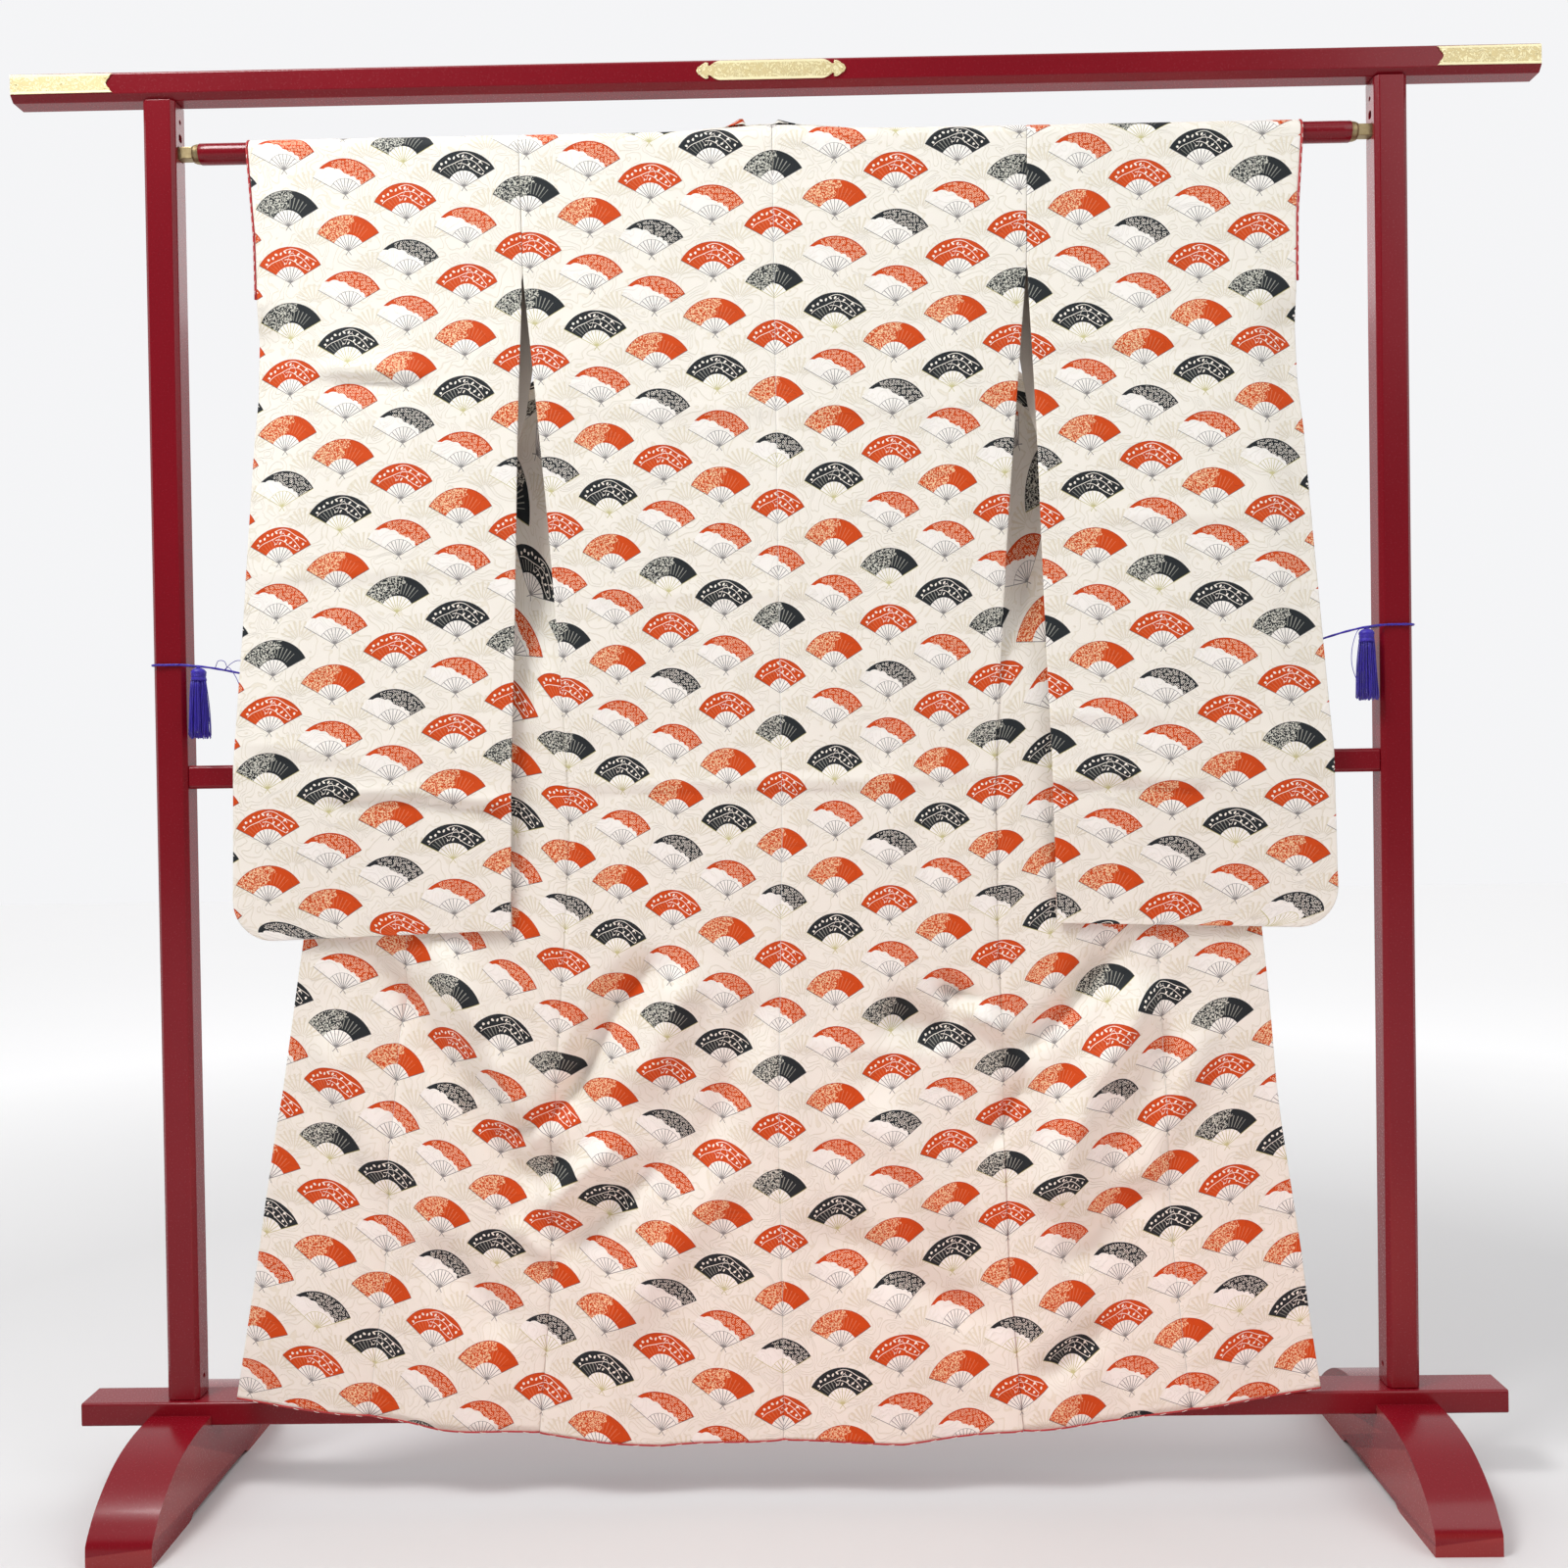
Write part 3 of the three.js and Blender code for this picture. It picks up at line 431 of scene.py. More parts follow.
def within(tree, value, low, high):
    """1 where a value lies between two others."""
    return both(tree, above(tree, value, low), below(tree, value, high))


def either(tree, *masks):
    result = masks[0]
    for mask in masks[1:]:
        result = calc(tree, "MAXIMUM", result, mask)
    return result


def dots(tree, r, a, ring, step, size):
    """A row of round dots along an arc."""
    turned = calc(tree, "DIVIDE", a, step)
    part = calc(tree, "FRACT", calc(tree, "ADD", turned, 20.5))
    off = calc(tree, "MULTIPLY", calc(tree, "SUBTRACT", part, 0.5), step)
    across = calc(tree, "MULTIPLY", off, ring)
    sway = calc(tree, "MULTIPLY", calc(tree, "SINE", calc(tree, "MULTIPLY", a, 23.0)), 1.1)
    out = calc(tree, "SUBTRACT", r, calc(tree, "ADD", sway, ring))
    squares = calc(tree, "ADD", calc(tree, "MULTIPLY", across, across), calc(tree, "MULTIPLY", out, out))
    return below(tree, squares, size * size)


def stroke(tree, r, a, ring, wave, turns, phase, width):
    """A wavy line along an arc."""
    angle = calc(tree, "ADD", calc(tree, "MULTIPLY", a, turns), phase)
    sway = calc(tree, "MULTIPLY", calc(tree, "SINE", angle), wave)
    return below(tree, calc(tree, "ABSOLUTE", calc(tree, "SUBTRACT", r, calc(tree, "ADD", sway, ring))), width)


def plum_boughs(tree, r, a):
    """Round blossoms and thin boughs over the upper part of a fan, its lower left left plain."""
    upper = both(tree, dots(tree, r, a, 38.5, 0.15, 1.6), within(tree, a, -0.93, 0.12))
    right = both(tree, dots(tree, r, a, 29.5, 0.25, 1.5), within(tree, a, 0.08, 1.0))
    high = both(tree, dots(tree, r, a, 36.5, 0.30, 1.5), within(tree, a, 0.25, 0.95))
    low = both(tree, dots(tree, r, a, 25.0, 0.31, 1.4), within(tree, a, -0.3, 0.2))
    long = both(tree, stroke(tree, r, a, 33.3, 1.6, 5.0, 0.4, 0.38), within(tree, a, -0.98, 0.95))
    second = both(tree, stroke(tree, r, a, 27.0, 2.6, 4.2, 2.2, 0.38), within(tree, a, -0.22, 0.98))
    third = both(tree, stroke(tree, r, a, 40.8, 1.6, 7.0, 1.0, 0.4), within(tree, a, -0.2, 0.9))
    twig = both(tree, stroke(tree, r, a, 31.0, 6.5, 11.0, 0.6, 0.42), within(tree, a, -0.35, 0.72))
    return either(tree, upper, right, high, low, long, second, third, twig)


def fan_looks(tree, place, r, a, colour, black):
    """The three painted papers: half marbled, plum boughs, and blossoms behind a white cloud."""
    pale = rgba((0.92, 0.87, 0.78))
    buff = blend(tree, black, rgba((0.88, 0.60, 0.36)), rgba((0.62, 0.62, 0.54)))
    leaf = noise(tree, place, 0.50, 3.0, 0.9)
    marbled = blend(tree, above(tree, leaf, 0.485), buff, colour)
    pleats = above(tree, calc(tree, "COSINE", calc(tree, "MULTIPLY", a, 42.0)), 0.7)
    faint = both(tree, pleats, within(tree, r, 23.0, 37.0), within(tree, a, 0.1, 0.75))
    plain = blend(tree, calc(tree, "MULTIPLY", faint, choose(tree, black, 0.16, 0.42)), colour, buff)
    wave = calc(tree, "MULTIPLY", calc(tree, "SINE", calc(tree, "MULTIPLY", r, 0.55)), 0.07)
    lean = calc(tree, "MULTIPLY", calc(tree, "SUBTRACT", r, 23.0), 0.0125)
    left = below(tree, a, calc(tree, "ADD", wave, lean))
    half_marbled = blend(tree, left, plain, marbled)

    folds = both(tree, pleats, within(tree, r, 22.0, 32.0), within(tree, a, -0.9, -0.35))
    boughs = blend(tree, calc(tree, "MULTIPLY", folds, choose(tree, black, 0.14, 0.4)), colour, buff)
    boughs = blend(tree, plum_boughs(tree, r, a), boughs, pale)

    cells = node(tree, "ShaderNodeTexVoronoi", {"Vector": place, "Scale": 0.27, "Randomness": 0.6},
                 voronoi_dimensions="2D").outputs["Distance"]
    rings = both(tree, within(tree, cells, 0.24, 0.37), below(tree, r, 43.4), above(tree, a, -0.42))
    blossoms = blend(tree, rings, colour, blend(tree, black, rgba((0.93, 0.70, 0.48)), pale))
    return half_marbled, boughs, blossoms


def fan_group(cloth):
    """Node group of the woven and printed silk: colour, height of the figure and roughness."""
    tree = bpy.data.node_groups.new("fan_print", "ShaderNodeTree")
    for name, kind in (("Place", "NodeSocketVector"), ("Drop", "NodeSocketFloat"), ("Phase", "NodeSocketFloat"),
                       ("Seam", "NodeSocketFloat")):
        tree.interface.new_socket(name, in_out="INPUT", socket_type=kind)
    for name, kind in (("Color", "NodeSocketColor"), ("Height", "NodeSocketFloat"),
                       ("Roughness", "NodeSocketFloat")):
        tree.interface.new_socket(name, in_out="OUTPUT", socket_type=kind)
    given = tree.nodes.new("NodeGroupInput").outputs
    place = node(tree, "ShaderNodeVectorMath", {0: given["Place"], "Scale": 1000.0}, operation="SCALE").outputs[0]
    split = node(tree, "ShaderNodeSeparateXYZ", {0: place})
    x, z = split.outputs["X"], split.outputs["Y"]
    i, j, lx, lz, r, a = fan_polar(tree, x, z, given["Drop"], given["Seam"])
    kind, black, green = chart_lookup(tree, i, j, given["Phase"])
    is_b = within(tree, kind, 0.25, 0.75)
    is_c = above(tree, kind, 0.75)
    wide = calc(tree, "ABSOLUTE", a)
    inside = below(tree, wide, FAN_SPREAD)
    paper = both(tree, inside, within(tree, r, FAN_INNER, FAN_OUTER))
    uneven = noise(tree, place, 0.05, 2.0)
    colour = blend(tree, black, rgba(cloth.vermilion), rgba(cloth.charcoal))
    colour = blend(tree, calc(tree, "MULTIPLY", uneven, 0.22), colour, blend(
        tree, black, rgba(cloth.vermilion, 1.12), rgba((0.045, 0.052, 0.056))))
    half_marbled, boughs, blossoms = fan_looks(tree, place, r, a, colour, black)
    look = blend(tree, is_c, blend(tree, is_b, half_marbled, boughs), blossoms)
    rim = either(tree, within(tree, r, FAN_OUTER - RIM, FAN_OUTER),
                 within(tree, wide, FAN_SPREAD - RIM_ANGLE, FAN_SPREAD))
    look = blend(tree, calc(tree, "MULTIPLY", rim, 0.8), look, blend(
        tree, black, rgba((0.42, 0.035, 0.012)), rgba((0.03, 0.035, 0.04))))

    slope = calc(tree, "SUBTRACT", 26.5, calc(tree, "MULTIPLY", a, 22.0))
    scallop = calc(tree, "MULTIPLY", calc(tree, "ABSOLUTE", calc(tree, "SINE", calc(tree, "MULTIPLY", a, 9.5))), 2.0)
    cloud_edge = calc(tree, "ADD", calc(tree, "MAXIMUM", slope, 23.6), scallop)
    cloud = both(tree, is_c, inside, below(tree, r, calc(tree, "MINIMUM", cloud_edge, FAN_OUTER)))

    # ribs under the paper, guards beside it, crossed ends below the pivot
    step = 2 * FAN_SPREAD / RIBS
    turned = calc(tree, "FRACT", calc(tree, "DIVIDE", calc(tree, "ADD", a, 10 * step), step))
    nearest = calc(tree, "SUBTRACT", 0.5, calc(tree, "ABSOLUTE", calc(tree, "SUBTRACT", turned, 0.5)))
    off = calc(tree, "MULTIPLY", nearest, step)
    ribs = both(tree, below(tree, calc(tree, "MULTIPLY", off, r), 0.42), below(tree, r, FAN_INNER), inside)
    side_off = calc(tree, "ABSOLUTE", calc(tree, "SUBTRACT", wide, FAN_SPREAD))
    guards = both(tree, below(tree, calc(tree, "MULTIPLY", side_off, r), 0.40), below(tree, r, FAN_OUTER))
    under = calc(tree, "ARCTAN2", calc(tree, "ABSOLUTE", lx), calc(tree, "MULTIPLY", lz, -1.0))
    foot = below(tree, calc(tree, "MULTIPLY", calc(tree, "ABSOLUTE", calc(tree, "SUBTRACT", under, 0.62)), r), 0.4)
    feet = both(tree, foot, below(tree, r, 6.0), below(tree, lz, 0.0))
    arc = both(tree, is_c, inside, within(tree, r, FAN_INNER - 0.5, FAN_INNER))
    lines = either(tree, ribs, guards, feet, arc)
    gold = both(tree, black, green)
    line_colour = blend(tree, gold, rgba((0.09, 0.085, 0.09)), rgba((0.50, 0.46, 0.14)))

    # ghost fans and flowing lines woven into the ground; the ground is drawn darker and yellower along them, partly
    # the figure's own tone and partly painted shade of its relief
    ghost_x = calc(tree, "SUBTRACT", x, GHOST_PLACE[0])
    ghost_z = calc(tree, "SUBTRACT", z, GHOST_PLACE[1])
    _, _, _, _, gr, ga = fan_polar(tree, ghost_x, ghost_z, given["Drop"])
    ray = above(tree, calc(tree, "COSINE", calc(tree, "MULTIPLY", ga, 21.0)), 0.35)
    ghost = both(tree, ray, within(tree, gr, 5.0, 25.0), below(tree, calc(tree, "ABSOLUTE", ga), 1.2))
    water = calc(tree, "FRACT", calc(tree, "MULTIPLY", noise(tree, place, 0.030, 1.0, 0.8), 11.0))
    flow = below(tree, water, 0.14)
    figure = either(tree, ghost, calc(tree, "MULTIPLY", flow, 0.6))
    # partly painted shade: the ground turns darker and yellower along the woven figure, where its relief would cast
    # shade
    ground = blend(tree, calc(tree, "MULTIPLY", figure, 0.8), rgba(cloth.ivory), rgba(
        (cloth.ivory[0] * 0.84, cloth.ivory[1] * 0.80, cloth.ivory[2] * 0.68)))
    stain = noise(tree, place, 0.004, 2.0)
    ground = blend(tree, calc(tree, "MULTIPLY", stain, 0.16), ground, rgba((0.84, 0.72, 0.58)))
    hollow = both(tree, inside, below(tree, r, FAN_INNER))
    white = calc(tree, "MULTIPLY", either(tree, hollow, cloud), 0.75)
    ground = blend(tree, white, ground, rgba((0.93, 0.91, 0.87)))

    printed = both(tree, paper, calc(tree, "SUBTRACT", 1.0, cloud))
    weave = noise(tree, place, 1.6, 1.0)
    colour = blend(tree, printed, ground, look)
    colour = blend(tree, calc(tree, "MULTIPLY", lines, 0.8), colour, line_colour)
    colour = blend(tree, 0.10, colour, blend(tree, weave, rgba((0.3, 0.3, 0.3)), rgba((0.9, 0.9, 0.9))), "OVERLAY")
    height = calc(tree, "ADD", calc(tree, "MULTIPLY", figure, 0.9), calc(tree, "MULTIPLY", weave, 0.15))
    rough = choose(tree, either(tree, printed, figure), 0.46, 0.62)
    out = tree.nodes.new("NodeGroupOutput")
    tree.links.new(colour, out.inputs["Color"])
    tree.links.new(height, out.inputs["Height"])
    tree.links.new(rough, out.inputs["Roughness"])
    return tree


def printed_silk(name, drop, phase, seam):
    """Figured ivory silk with its fans.

    drop is how much lower each column lies than the last, seam what a seam swallows of its column.
    """
    cloth = bpy.context.scene.kimono_cloth
    group = bpy.data.node_groups.get("fan_print") or fan_group(cloth)
    made, tree, shader = material("figured_silk_" + name, sheen_weight=0.03, sheen_roughness=0.4)
    shader.inputs["Specular IOR Level"].default_value = 0.22
    uv = node(tree, "ShaderNodeUVMap", uv_map="cloth").outputs[0]
    fans = tree.nodes.new("ShaderNodeGroup")
    fans.node_tree = group
    tree.links.new(uv, fans.inputs["Place"])
    fans.inputs["Drop"].default_value = drop
    fans.inputs["Phase"].default_value = phase
    fans.inputs["Seam"].default_value = seam
    bump = node(tree, "ShaderNodeBump", {"Height": fans.outputs["Height"], "Strength": 1.0, "Distance": 0.0012})
    tree.links.new(fans.outputs["Color"], shader.inputs["Base Color"])
    tree.links.new(fans.outputs["Roughness"], shader.inputs["Roughness"])
    tree.links.new(bump.outputs[0], shader.inputs["Normal"])
    return made


def lining_silk():
    """Inside of the kimono: white above, red at the skirt and the cuffs."""
    cloth = bpy.context.scene.kimono_cloth
    made, tree, shader = material("lining_silk", sheen_weight=0.2, sheen_roughness=0.4, roughness=0.5)
    place = node(tree, "ShaderNodeTexCoord").outputs["Object"]
    split = node(tree, "ShaderNodeSeparateXYZ", {0: place})
    skirt = below(tree, split.outputs["Z"], 0.50)
    cuff = both(tree, above(tree, calc(tree, "ABSOLUTE", split.outputs["X"]), 0.600),
                above(tree, split.outputs["Z"], 1.36))
    thread = noise(tree, place, 900.0, 2.0)
    colour = blend(tree, calc(tree, "MAXIMUM", skirt, cuff), rgba((0.78, 0.72, 0.64)), rgba(cloth.lining))
    colour = blend(tree, calc(tree, "MULTIPLY", thread, 0.25), colour, rgba((0.3, 0.24, 0.2)), "MULTIPLY")
    bump = node(tree, "ShaderNodeBump", {"Height": thread, "Strength": 0.25, "Distance": 0.0003})
    tree.links.new(colour, shader.inputs["Base Color"])
    tree.links.new(bump.outputs[0], shader.inputs["Normal"])
    return made


def red_silk():
    """Plain red silk of the rolled edges."""
    cloth = bpy.context.scene.kimono_cloth
    made, tree, shader = material("red_silk", sheen_weight=0.3, sheen_roughness=0.35)
    place = node(tree, "ShaderNodeTexCoord").outputs["Object"]
    rib = noise(tree, place, 700.0, 3.0)
    tone = noise(tree, place, 22.0, 2.0)
    colour = blend(tree, tone, rgba(cloth.lining, 0.80), rgba(cloth.lining, 1.25))
    bump = node(tree, "ShaderNodeBump", {"Height": rib, "Strength": 0.3, "Distance": 0.0003})
    tree.links.new(colour, shader.inputs["Base Color"])
    tree.links.new(choose(tree, rib, 0.42, 0.62), shader.inputs["Roughness"])
    tree.links.new(bump.outputs[0], shader.inputs["Normal"])
    return made


def thread_cotton():
    made, tree, shader = material("basting_cotton", sheen_weight=0.2)
    place = node(tree, "ShaderNodeTexCoord").outputs["Object"]
    fuzz = noise(tree, place, 1500.0, 2.0)
    tree.links.new(blend(tree, fuzz, rgba((0.70, 0.68, 0.62)), rgba((0.88, 0.86, 0.80))), shader.inputs["Base Color"])
    tree.links.new(choose(tree, fuzz, 0.7, 0.9), shader.inputs["Roughness"])
    return made


def lacquer():
    """Glossy maroon lacquer: slight waves, fine dust and lighter worn edges."""
    stand = bpy.context.scene.kimono_stand
    made, tree, shader = material("maroon_lacquer", coat_weight=0.11, coat_roughness=0.10)
    shader.inputs["Specular IOR Level"].default_value = 0.26
    place = node(tree, "ShaderNodeTexCoord").outputs["Object"]
    tone = noise(tree, place, 5.0, 3.0)
    dust = noise(tree, place, 420.0, 2.0)
    peel = noise(tree, place, 130.0, 1.0)
    edge = node(tree, "ShaderNodeNewGeometry").outputs["Pointiness"]
    worn = calc(tree, "MULTIPLY", above(tree, edge, 0.56), 0.30)
    colour = blend(tree, tone, rgba(stand.lacquer, 0.86), rgba(stand.lacquer, 1.16))
    colour = blend(tree, worn, colour, rgba((0.46, 0.09, 0.08)))
    bump = node(tree, "ShaderNodeBump", {"Height": peel, "Strength": 0.06, "Distance": 0.0004})
    tree.links.new(colour, shader.inputs["Base Color"])
    tree.links.new(choose(tree, dust, 0.16, 0.34), shader.inputs["Roughness"])
    tree.links.new(bump.outputs[0], shader.inputs["Normal"])
    return made


def engraved_brass():
    """Pale gilt brass, engraved with scrolling vines on a ground of punched rings."""
    stand = bpy.context.scene.kimono_stand
    made, tree, shader = material("engraved_brass", metallic=0.30)
    place = node(tree, "ShaderNodeTexCoord").outputs["Object"]
    flat = node(tree, "ShaderNodeVectorMath", {0: place, 1: (1.0, 0.0, 1.0)}, operation="MULTIPLY").outputs[0]
    split = node(tree, "ShaderNodeSeparateXYZ", {0: flat})
    x, z = split.outputs["X"], split.outputs["Z"]
    middle = (PLATE["low"] + PLATE["high"]) * MM / 2
    wave = calc(tree, "MULTIPLY", calc(tree, "SINE", calc(tree, "MULTIPLY", x, 262.0)), 0.0045)
    from_wave = calc(tree, "SUBTRACT", calc(tree, "SUBTRACT", z, middle), wave)
    stem = below(tree, calc(tree, "ABSOLUTE", from_wave), 0.0008)
    curls = contour(tree, noise(tree, flat, 115.0, 1.0, 2.4), 0.085)
    band = below(tree, calc(tree, "ABSOLUTE", calc(tree, "SUBTRACT", z, middle)), 0.0088)
    vine = both(tree, calc(tree, "MAXIMUM", stem, curls), band)
    rings = node(tree, "ShaderNodeTexVoronoi", {
        "Vector": flat, "Scale": 620.0, "Randomness": 0.35}).outputs["Distance"]
    ground = both(tree, below(tree, rings, 0.32), band, calc(tree, "SUBTRACT", 1.0, vine))
    tarnish = noise(tree, place, 60.0, 3.0)
    height = calc(tree, "SUBTRACT", vine, calc(tree, "MULTIPLY", ground, 0.5))
    colour = blend(tree, calc(tree, "MULTIPLY", ground, 0.4), rgba(stand.brass), rgba((0.52, 0.40, 0.12)))
    colour = blend(tree, calc(tree, "MULTIPLY", vine, 0.65), colour, rgba((0.48, 0.34, 0.09)))
    colour = blend(tree, calc(tree, "MULTIPLY", tarnish, 0.5), colour, rgba((0.80, 0.68, 0.36)))
    bump = node(tree, "ShaderNodeBump", {"Height": height, "Strength": 1.0, "Distance": 0.0009})
    tree.links.new(colour, shader.inputs["Base Color"])
    tree.links.new(choose(tree, tarnish, 0.42, 0.56), shader.inputs["Roughness"])
    tree.links.new(bump.outputs[0], shader.inputs["Normal"])
    return made


def aged_metal():
    """Dull brown metal of the pole's ends and pins."""
    made, tree, shader = material("aged_metal", metallic=0.9)
    place = node(tree, "ShaderNodeTexCoord").outputs["Object"]
    tone = noise(tree, place, 240.0, 3.0)
    tree.links.new(blend(tree, tone, rgba((0.26, 0.19, 0.09)), rgba((0.48, 0.39, 0.22))), shader.inputs["Base Color"])
    tree.links.new(choose(tree, tone, 0.35, 0.6), shader.inputs["Roughness"])
    return made


def violet_silk():
    """Twisted violet silk."""
    cord = bpy.context.scene.kimono_cord
    made, tree, shader = material("violet_silk", sheen_weight=0.35, sheen_roughness=0.3)
    place = node(tree, "ShaderNodeTexCoord").outputs["Object"]
    tone = noise(tree, place, 160.0, 2.0)
    fibre = noise(tree, place, 1400.0, 2.0)
    colour = blend(tree, tone, rgba(cord.violet, 0.55), rgba(cord.violet, 1.35))
    bump = node(tree, "ShaderNodeBump", {"Height": fibre, "Strength": 0.35, "Distance": 0.0002})
    tree.links.new(colour, shader.inputs["Base Color"])
    tree.links.new(choose(tree, fibre, 0.38, 0.6), shader.inputs["Roughness"])
    tree.links.new(bump.outputs[0], shader.inputs["Normal"])
    return made


def finish_of(name, maker):
    """The material of that name, made when it is first wanted."""
    return bpy.data.materials.get(name) or maker()


# ================================================================ mesh helpers
def fine_name(name):
    """Name of a piece that stands for the solid of that name."""
    return name + ".fine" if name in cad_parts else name


def mesh_object(name, points, faces, finishes, face_finish=None, rounded=None, corner_uv=None):
    """Object from points in millimetres and lists of faces."""
    name = fine_name(name)
    mesh = bpy.data.meshes.new(name)
    mesh.from_pydata((np.asarray(points, float) * MM).tolist(), [], faces)
    for finish in finishes:
        mesh.materials.append(finish)
    if face_finish is not None:
        mesh.polygons.foreach_set("material_index", np.asarray(face_finish, np.int32))
    flags = np.ones(len(mesh.polygons), bool) if rounded is None else np.asarray(rounded, bool)
    mesh.polygons.foreach_set("use_smooth", flags)
    if corner_uv is not None:
        layer = mesh.uv_layers.new(name="cloth")
        layer.data.foreach_set("uv", (np.asarray(corner_uv, float) * MM).ravel())
    mesh.validate()
    made = bpy.data.objects.new(name, mesh)
    bpy.context.scene.collection.objects.link(made)
    return made


def ride_root(piece, slot, *nodes):
    """The piece rides on the one body and stands for its solids. Its slot is not used."""
    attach(piece, "root")
    if nodes:
        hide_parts(*nodes)
    return piece


def normals_of(points):
    along = np.gradient(points, axis=0)
    across = np.gradient(points, axis=1)
    normal = np.cross(across, along)
    length = np.linalg.norm(normal, axis=2, keepdims=True)
    return normal / np.maximum(length, 1e-9)


def shell(name, grid, place, finishes, keep=None, second_place=None, switch=None, soft=None, flip=False):
    """Thin closed shell on a grid of points. Its first finish is outside, its second inside.

    place holds the cloth coordinates; rows from switch on use second_place. soft, from 0 to 1,
    draws the outside in beside a seam.
    """
    rows, cols = grid.shape[:2]
    keep = np.ones((rows - 1, cols - 1), bool) if keep is None else keep
    soft = np.zeros((rows, cols)) if soft is None else soft
    if flip:
        grid, place, keep, soft = grid[:, ::-1], place[:, ::-1], keep[:, ::-1], soft[:, ::-1]
        second_place = None if second_place is None else second_place[:, ::-1]
    half = bpy.context.scene.kimono_cloth.thickness / MM / 2
    normal = normals_of(grid)
    outside = grid + normal * (half * (1 - 0.8 * soft))[:, :, None]
    inside = grid - normal * half
    count = rows * cols
    i, j = np.nonzero(keep)
    a, b, c, d = i * cols + j, i * cols + j + 1, (i + 1) * cols + j + 1, (i + 1) * cols + j
    faces = np.concatenate([np.stack([a, b, c, d], 1), np.stack([a, d, c, b], 1) + count])
    padded = np.pad(keep, 1)
    rims = []
    for di, dj, first, second in ((-1, 0, b, a), (1, 0, d, c), (0, -1, a, d), (0, 1, c, b)):
        open_edge = ~padded[i + 1 + di, j + 1 + dj]
        p, q = first[open_edge], second[open_edge]
        rims.append(np.stack([p, q, q + count, p + count], 1))
    rims = np.concatenate(rims)
    everything = np.concatenate([faces, rims])
    finish = np.concatenate([np.zeros(len(a)), np.ones(len(a)), np.zeros(len(rims))])
    rounded = np.concatenate([np.ones(len(faces)), np.zeros(len(rims))])
    flat = place.reshape(-1, 2)
    first_uv = flat[everything % count]
    if second_place is not None:
        other = second_place.reshape(-1, 2)[everything % count]
        late = (everything % count // cols).min(axis=1) >= switch
        first_uv = np.where(late[:, None, None], other, first_uv)
    used, packed = np.unique(everything, return_inverse=True)
    points = np.concatenate([outside.reshape(-1, 3), inside.reshape(-1, 3)])[used]
    return mesh_object(name, points, packed.reshape(everything.shape).tolist(), finishes, finish, rounded,
                       first_uv.reshape(-1, 2))


def spread(length, step, fine=(1.0, 2.2, 4.0)):
    """Shares from 0 to 1 along a length, closer together beside both ends."""
    count = max(2, int(round((length - 2 * fine[-1]) / step)))
    inner = np.linspace(fine[-1], length - fine[-1], count + 1)
    ends = np.array([0.0, *fine[:-1]])
    return np.concatenate([ends, inner, (length - ends)[::-1]]) / length


def beside(distance, reach=1.6):
    """How strongly a seam at that distance draws the cloth in."""
    return np.exp(-((np.abs(distance) / reach) ** 2))


def tube(path, radius, sides=8, closed_ends=True, ply=0, lay=0.0):
    """Points and faces of a round tube along a path. ply strands wind round it once in lay."""
    path = np.asarray(path, float)
    ahead = np.gradient(path, axis=0)
    ahead /= np.linalg.norm(ahead, axis=1, keepdims=True)
    ups = np.empty_like(path)
    up = np.cross(ahead[0], (0.31, 0.11, 0.94))
    for k, direction in enumerate(ahead):
        up = up - direction * np.dot(up, direction)
        up /= np.linalg.norm(up)
        ups[k] = up
    side = np.cross(ahead, ups)
    turn = 2 * math.pi * np.arange(sides) / sides
    along = np.concatenate([[0], np.cumsum(np.linalg.norm(np.diff(path, axis=0), axis=1))])
    r = np.broadcast_to(np.asarray(radius, float), (len(path),))[:, None] * np.ones((1, sides))
    if ply:
        r = r * (0.90 + 0.10 * np.cos(ply * (turn[None, :] - 2 * math.pi * along[:, None] / lay)))
    points = path[:, None] + r[..., None] * (
        ups[:, None] * np.cos(turn)[None, :, None] + side[:, None] * np.sin(turn)[None, :, None])
    k, m = np.meshgrid(np.arange(len(path) - 1), np.arange(sides), indexing="ij")
    k, m = k.ravel(), m.ravel()
    n = (m + 1) % sides
    faces = np.stack([k * sides + m, k * sides + n, (k + 1) * sides + n, (k + 1) * sides + m], 1)[:, ::-1].tolist()
    if closed_ends:
        faces.append(list(range(sides)))
        faces.append([(len(path) - 1) * sides + m for m in range(sides)][::-1])
    return points.reshape(-1, 3), faces


def joined(parts):
    """Puts lists of points and faces together."""
    points, faces, offset = [], [], 0
    for some_points, some_faces in parts:
        points.append(some_points)
        faces.extend([[v + offset for v in face] for face in some_faces])
        offset += len(some_points)
    return np.concatenate(points), faces


def outward(made):
    """Turns every closed part of a mesh to face out."""
    work = bmesh.new()
    work.from_mesh(made.data)
    bmesh.ops.recalc_face_normals(work, faces=work.faces)
    work.to_mesh(made.data)
    work.free()
    return made


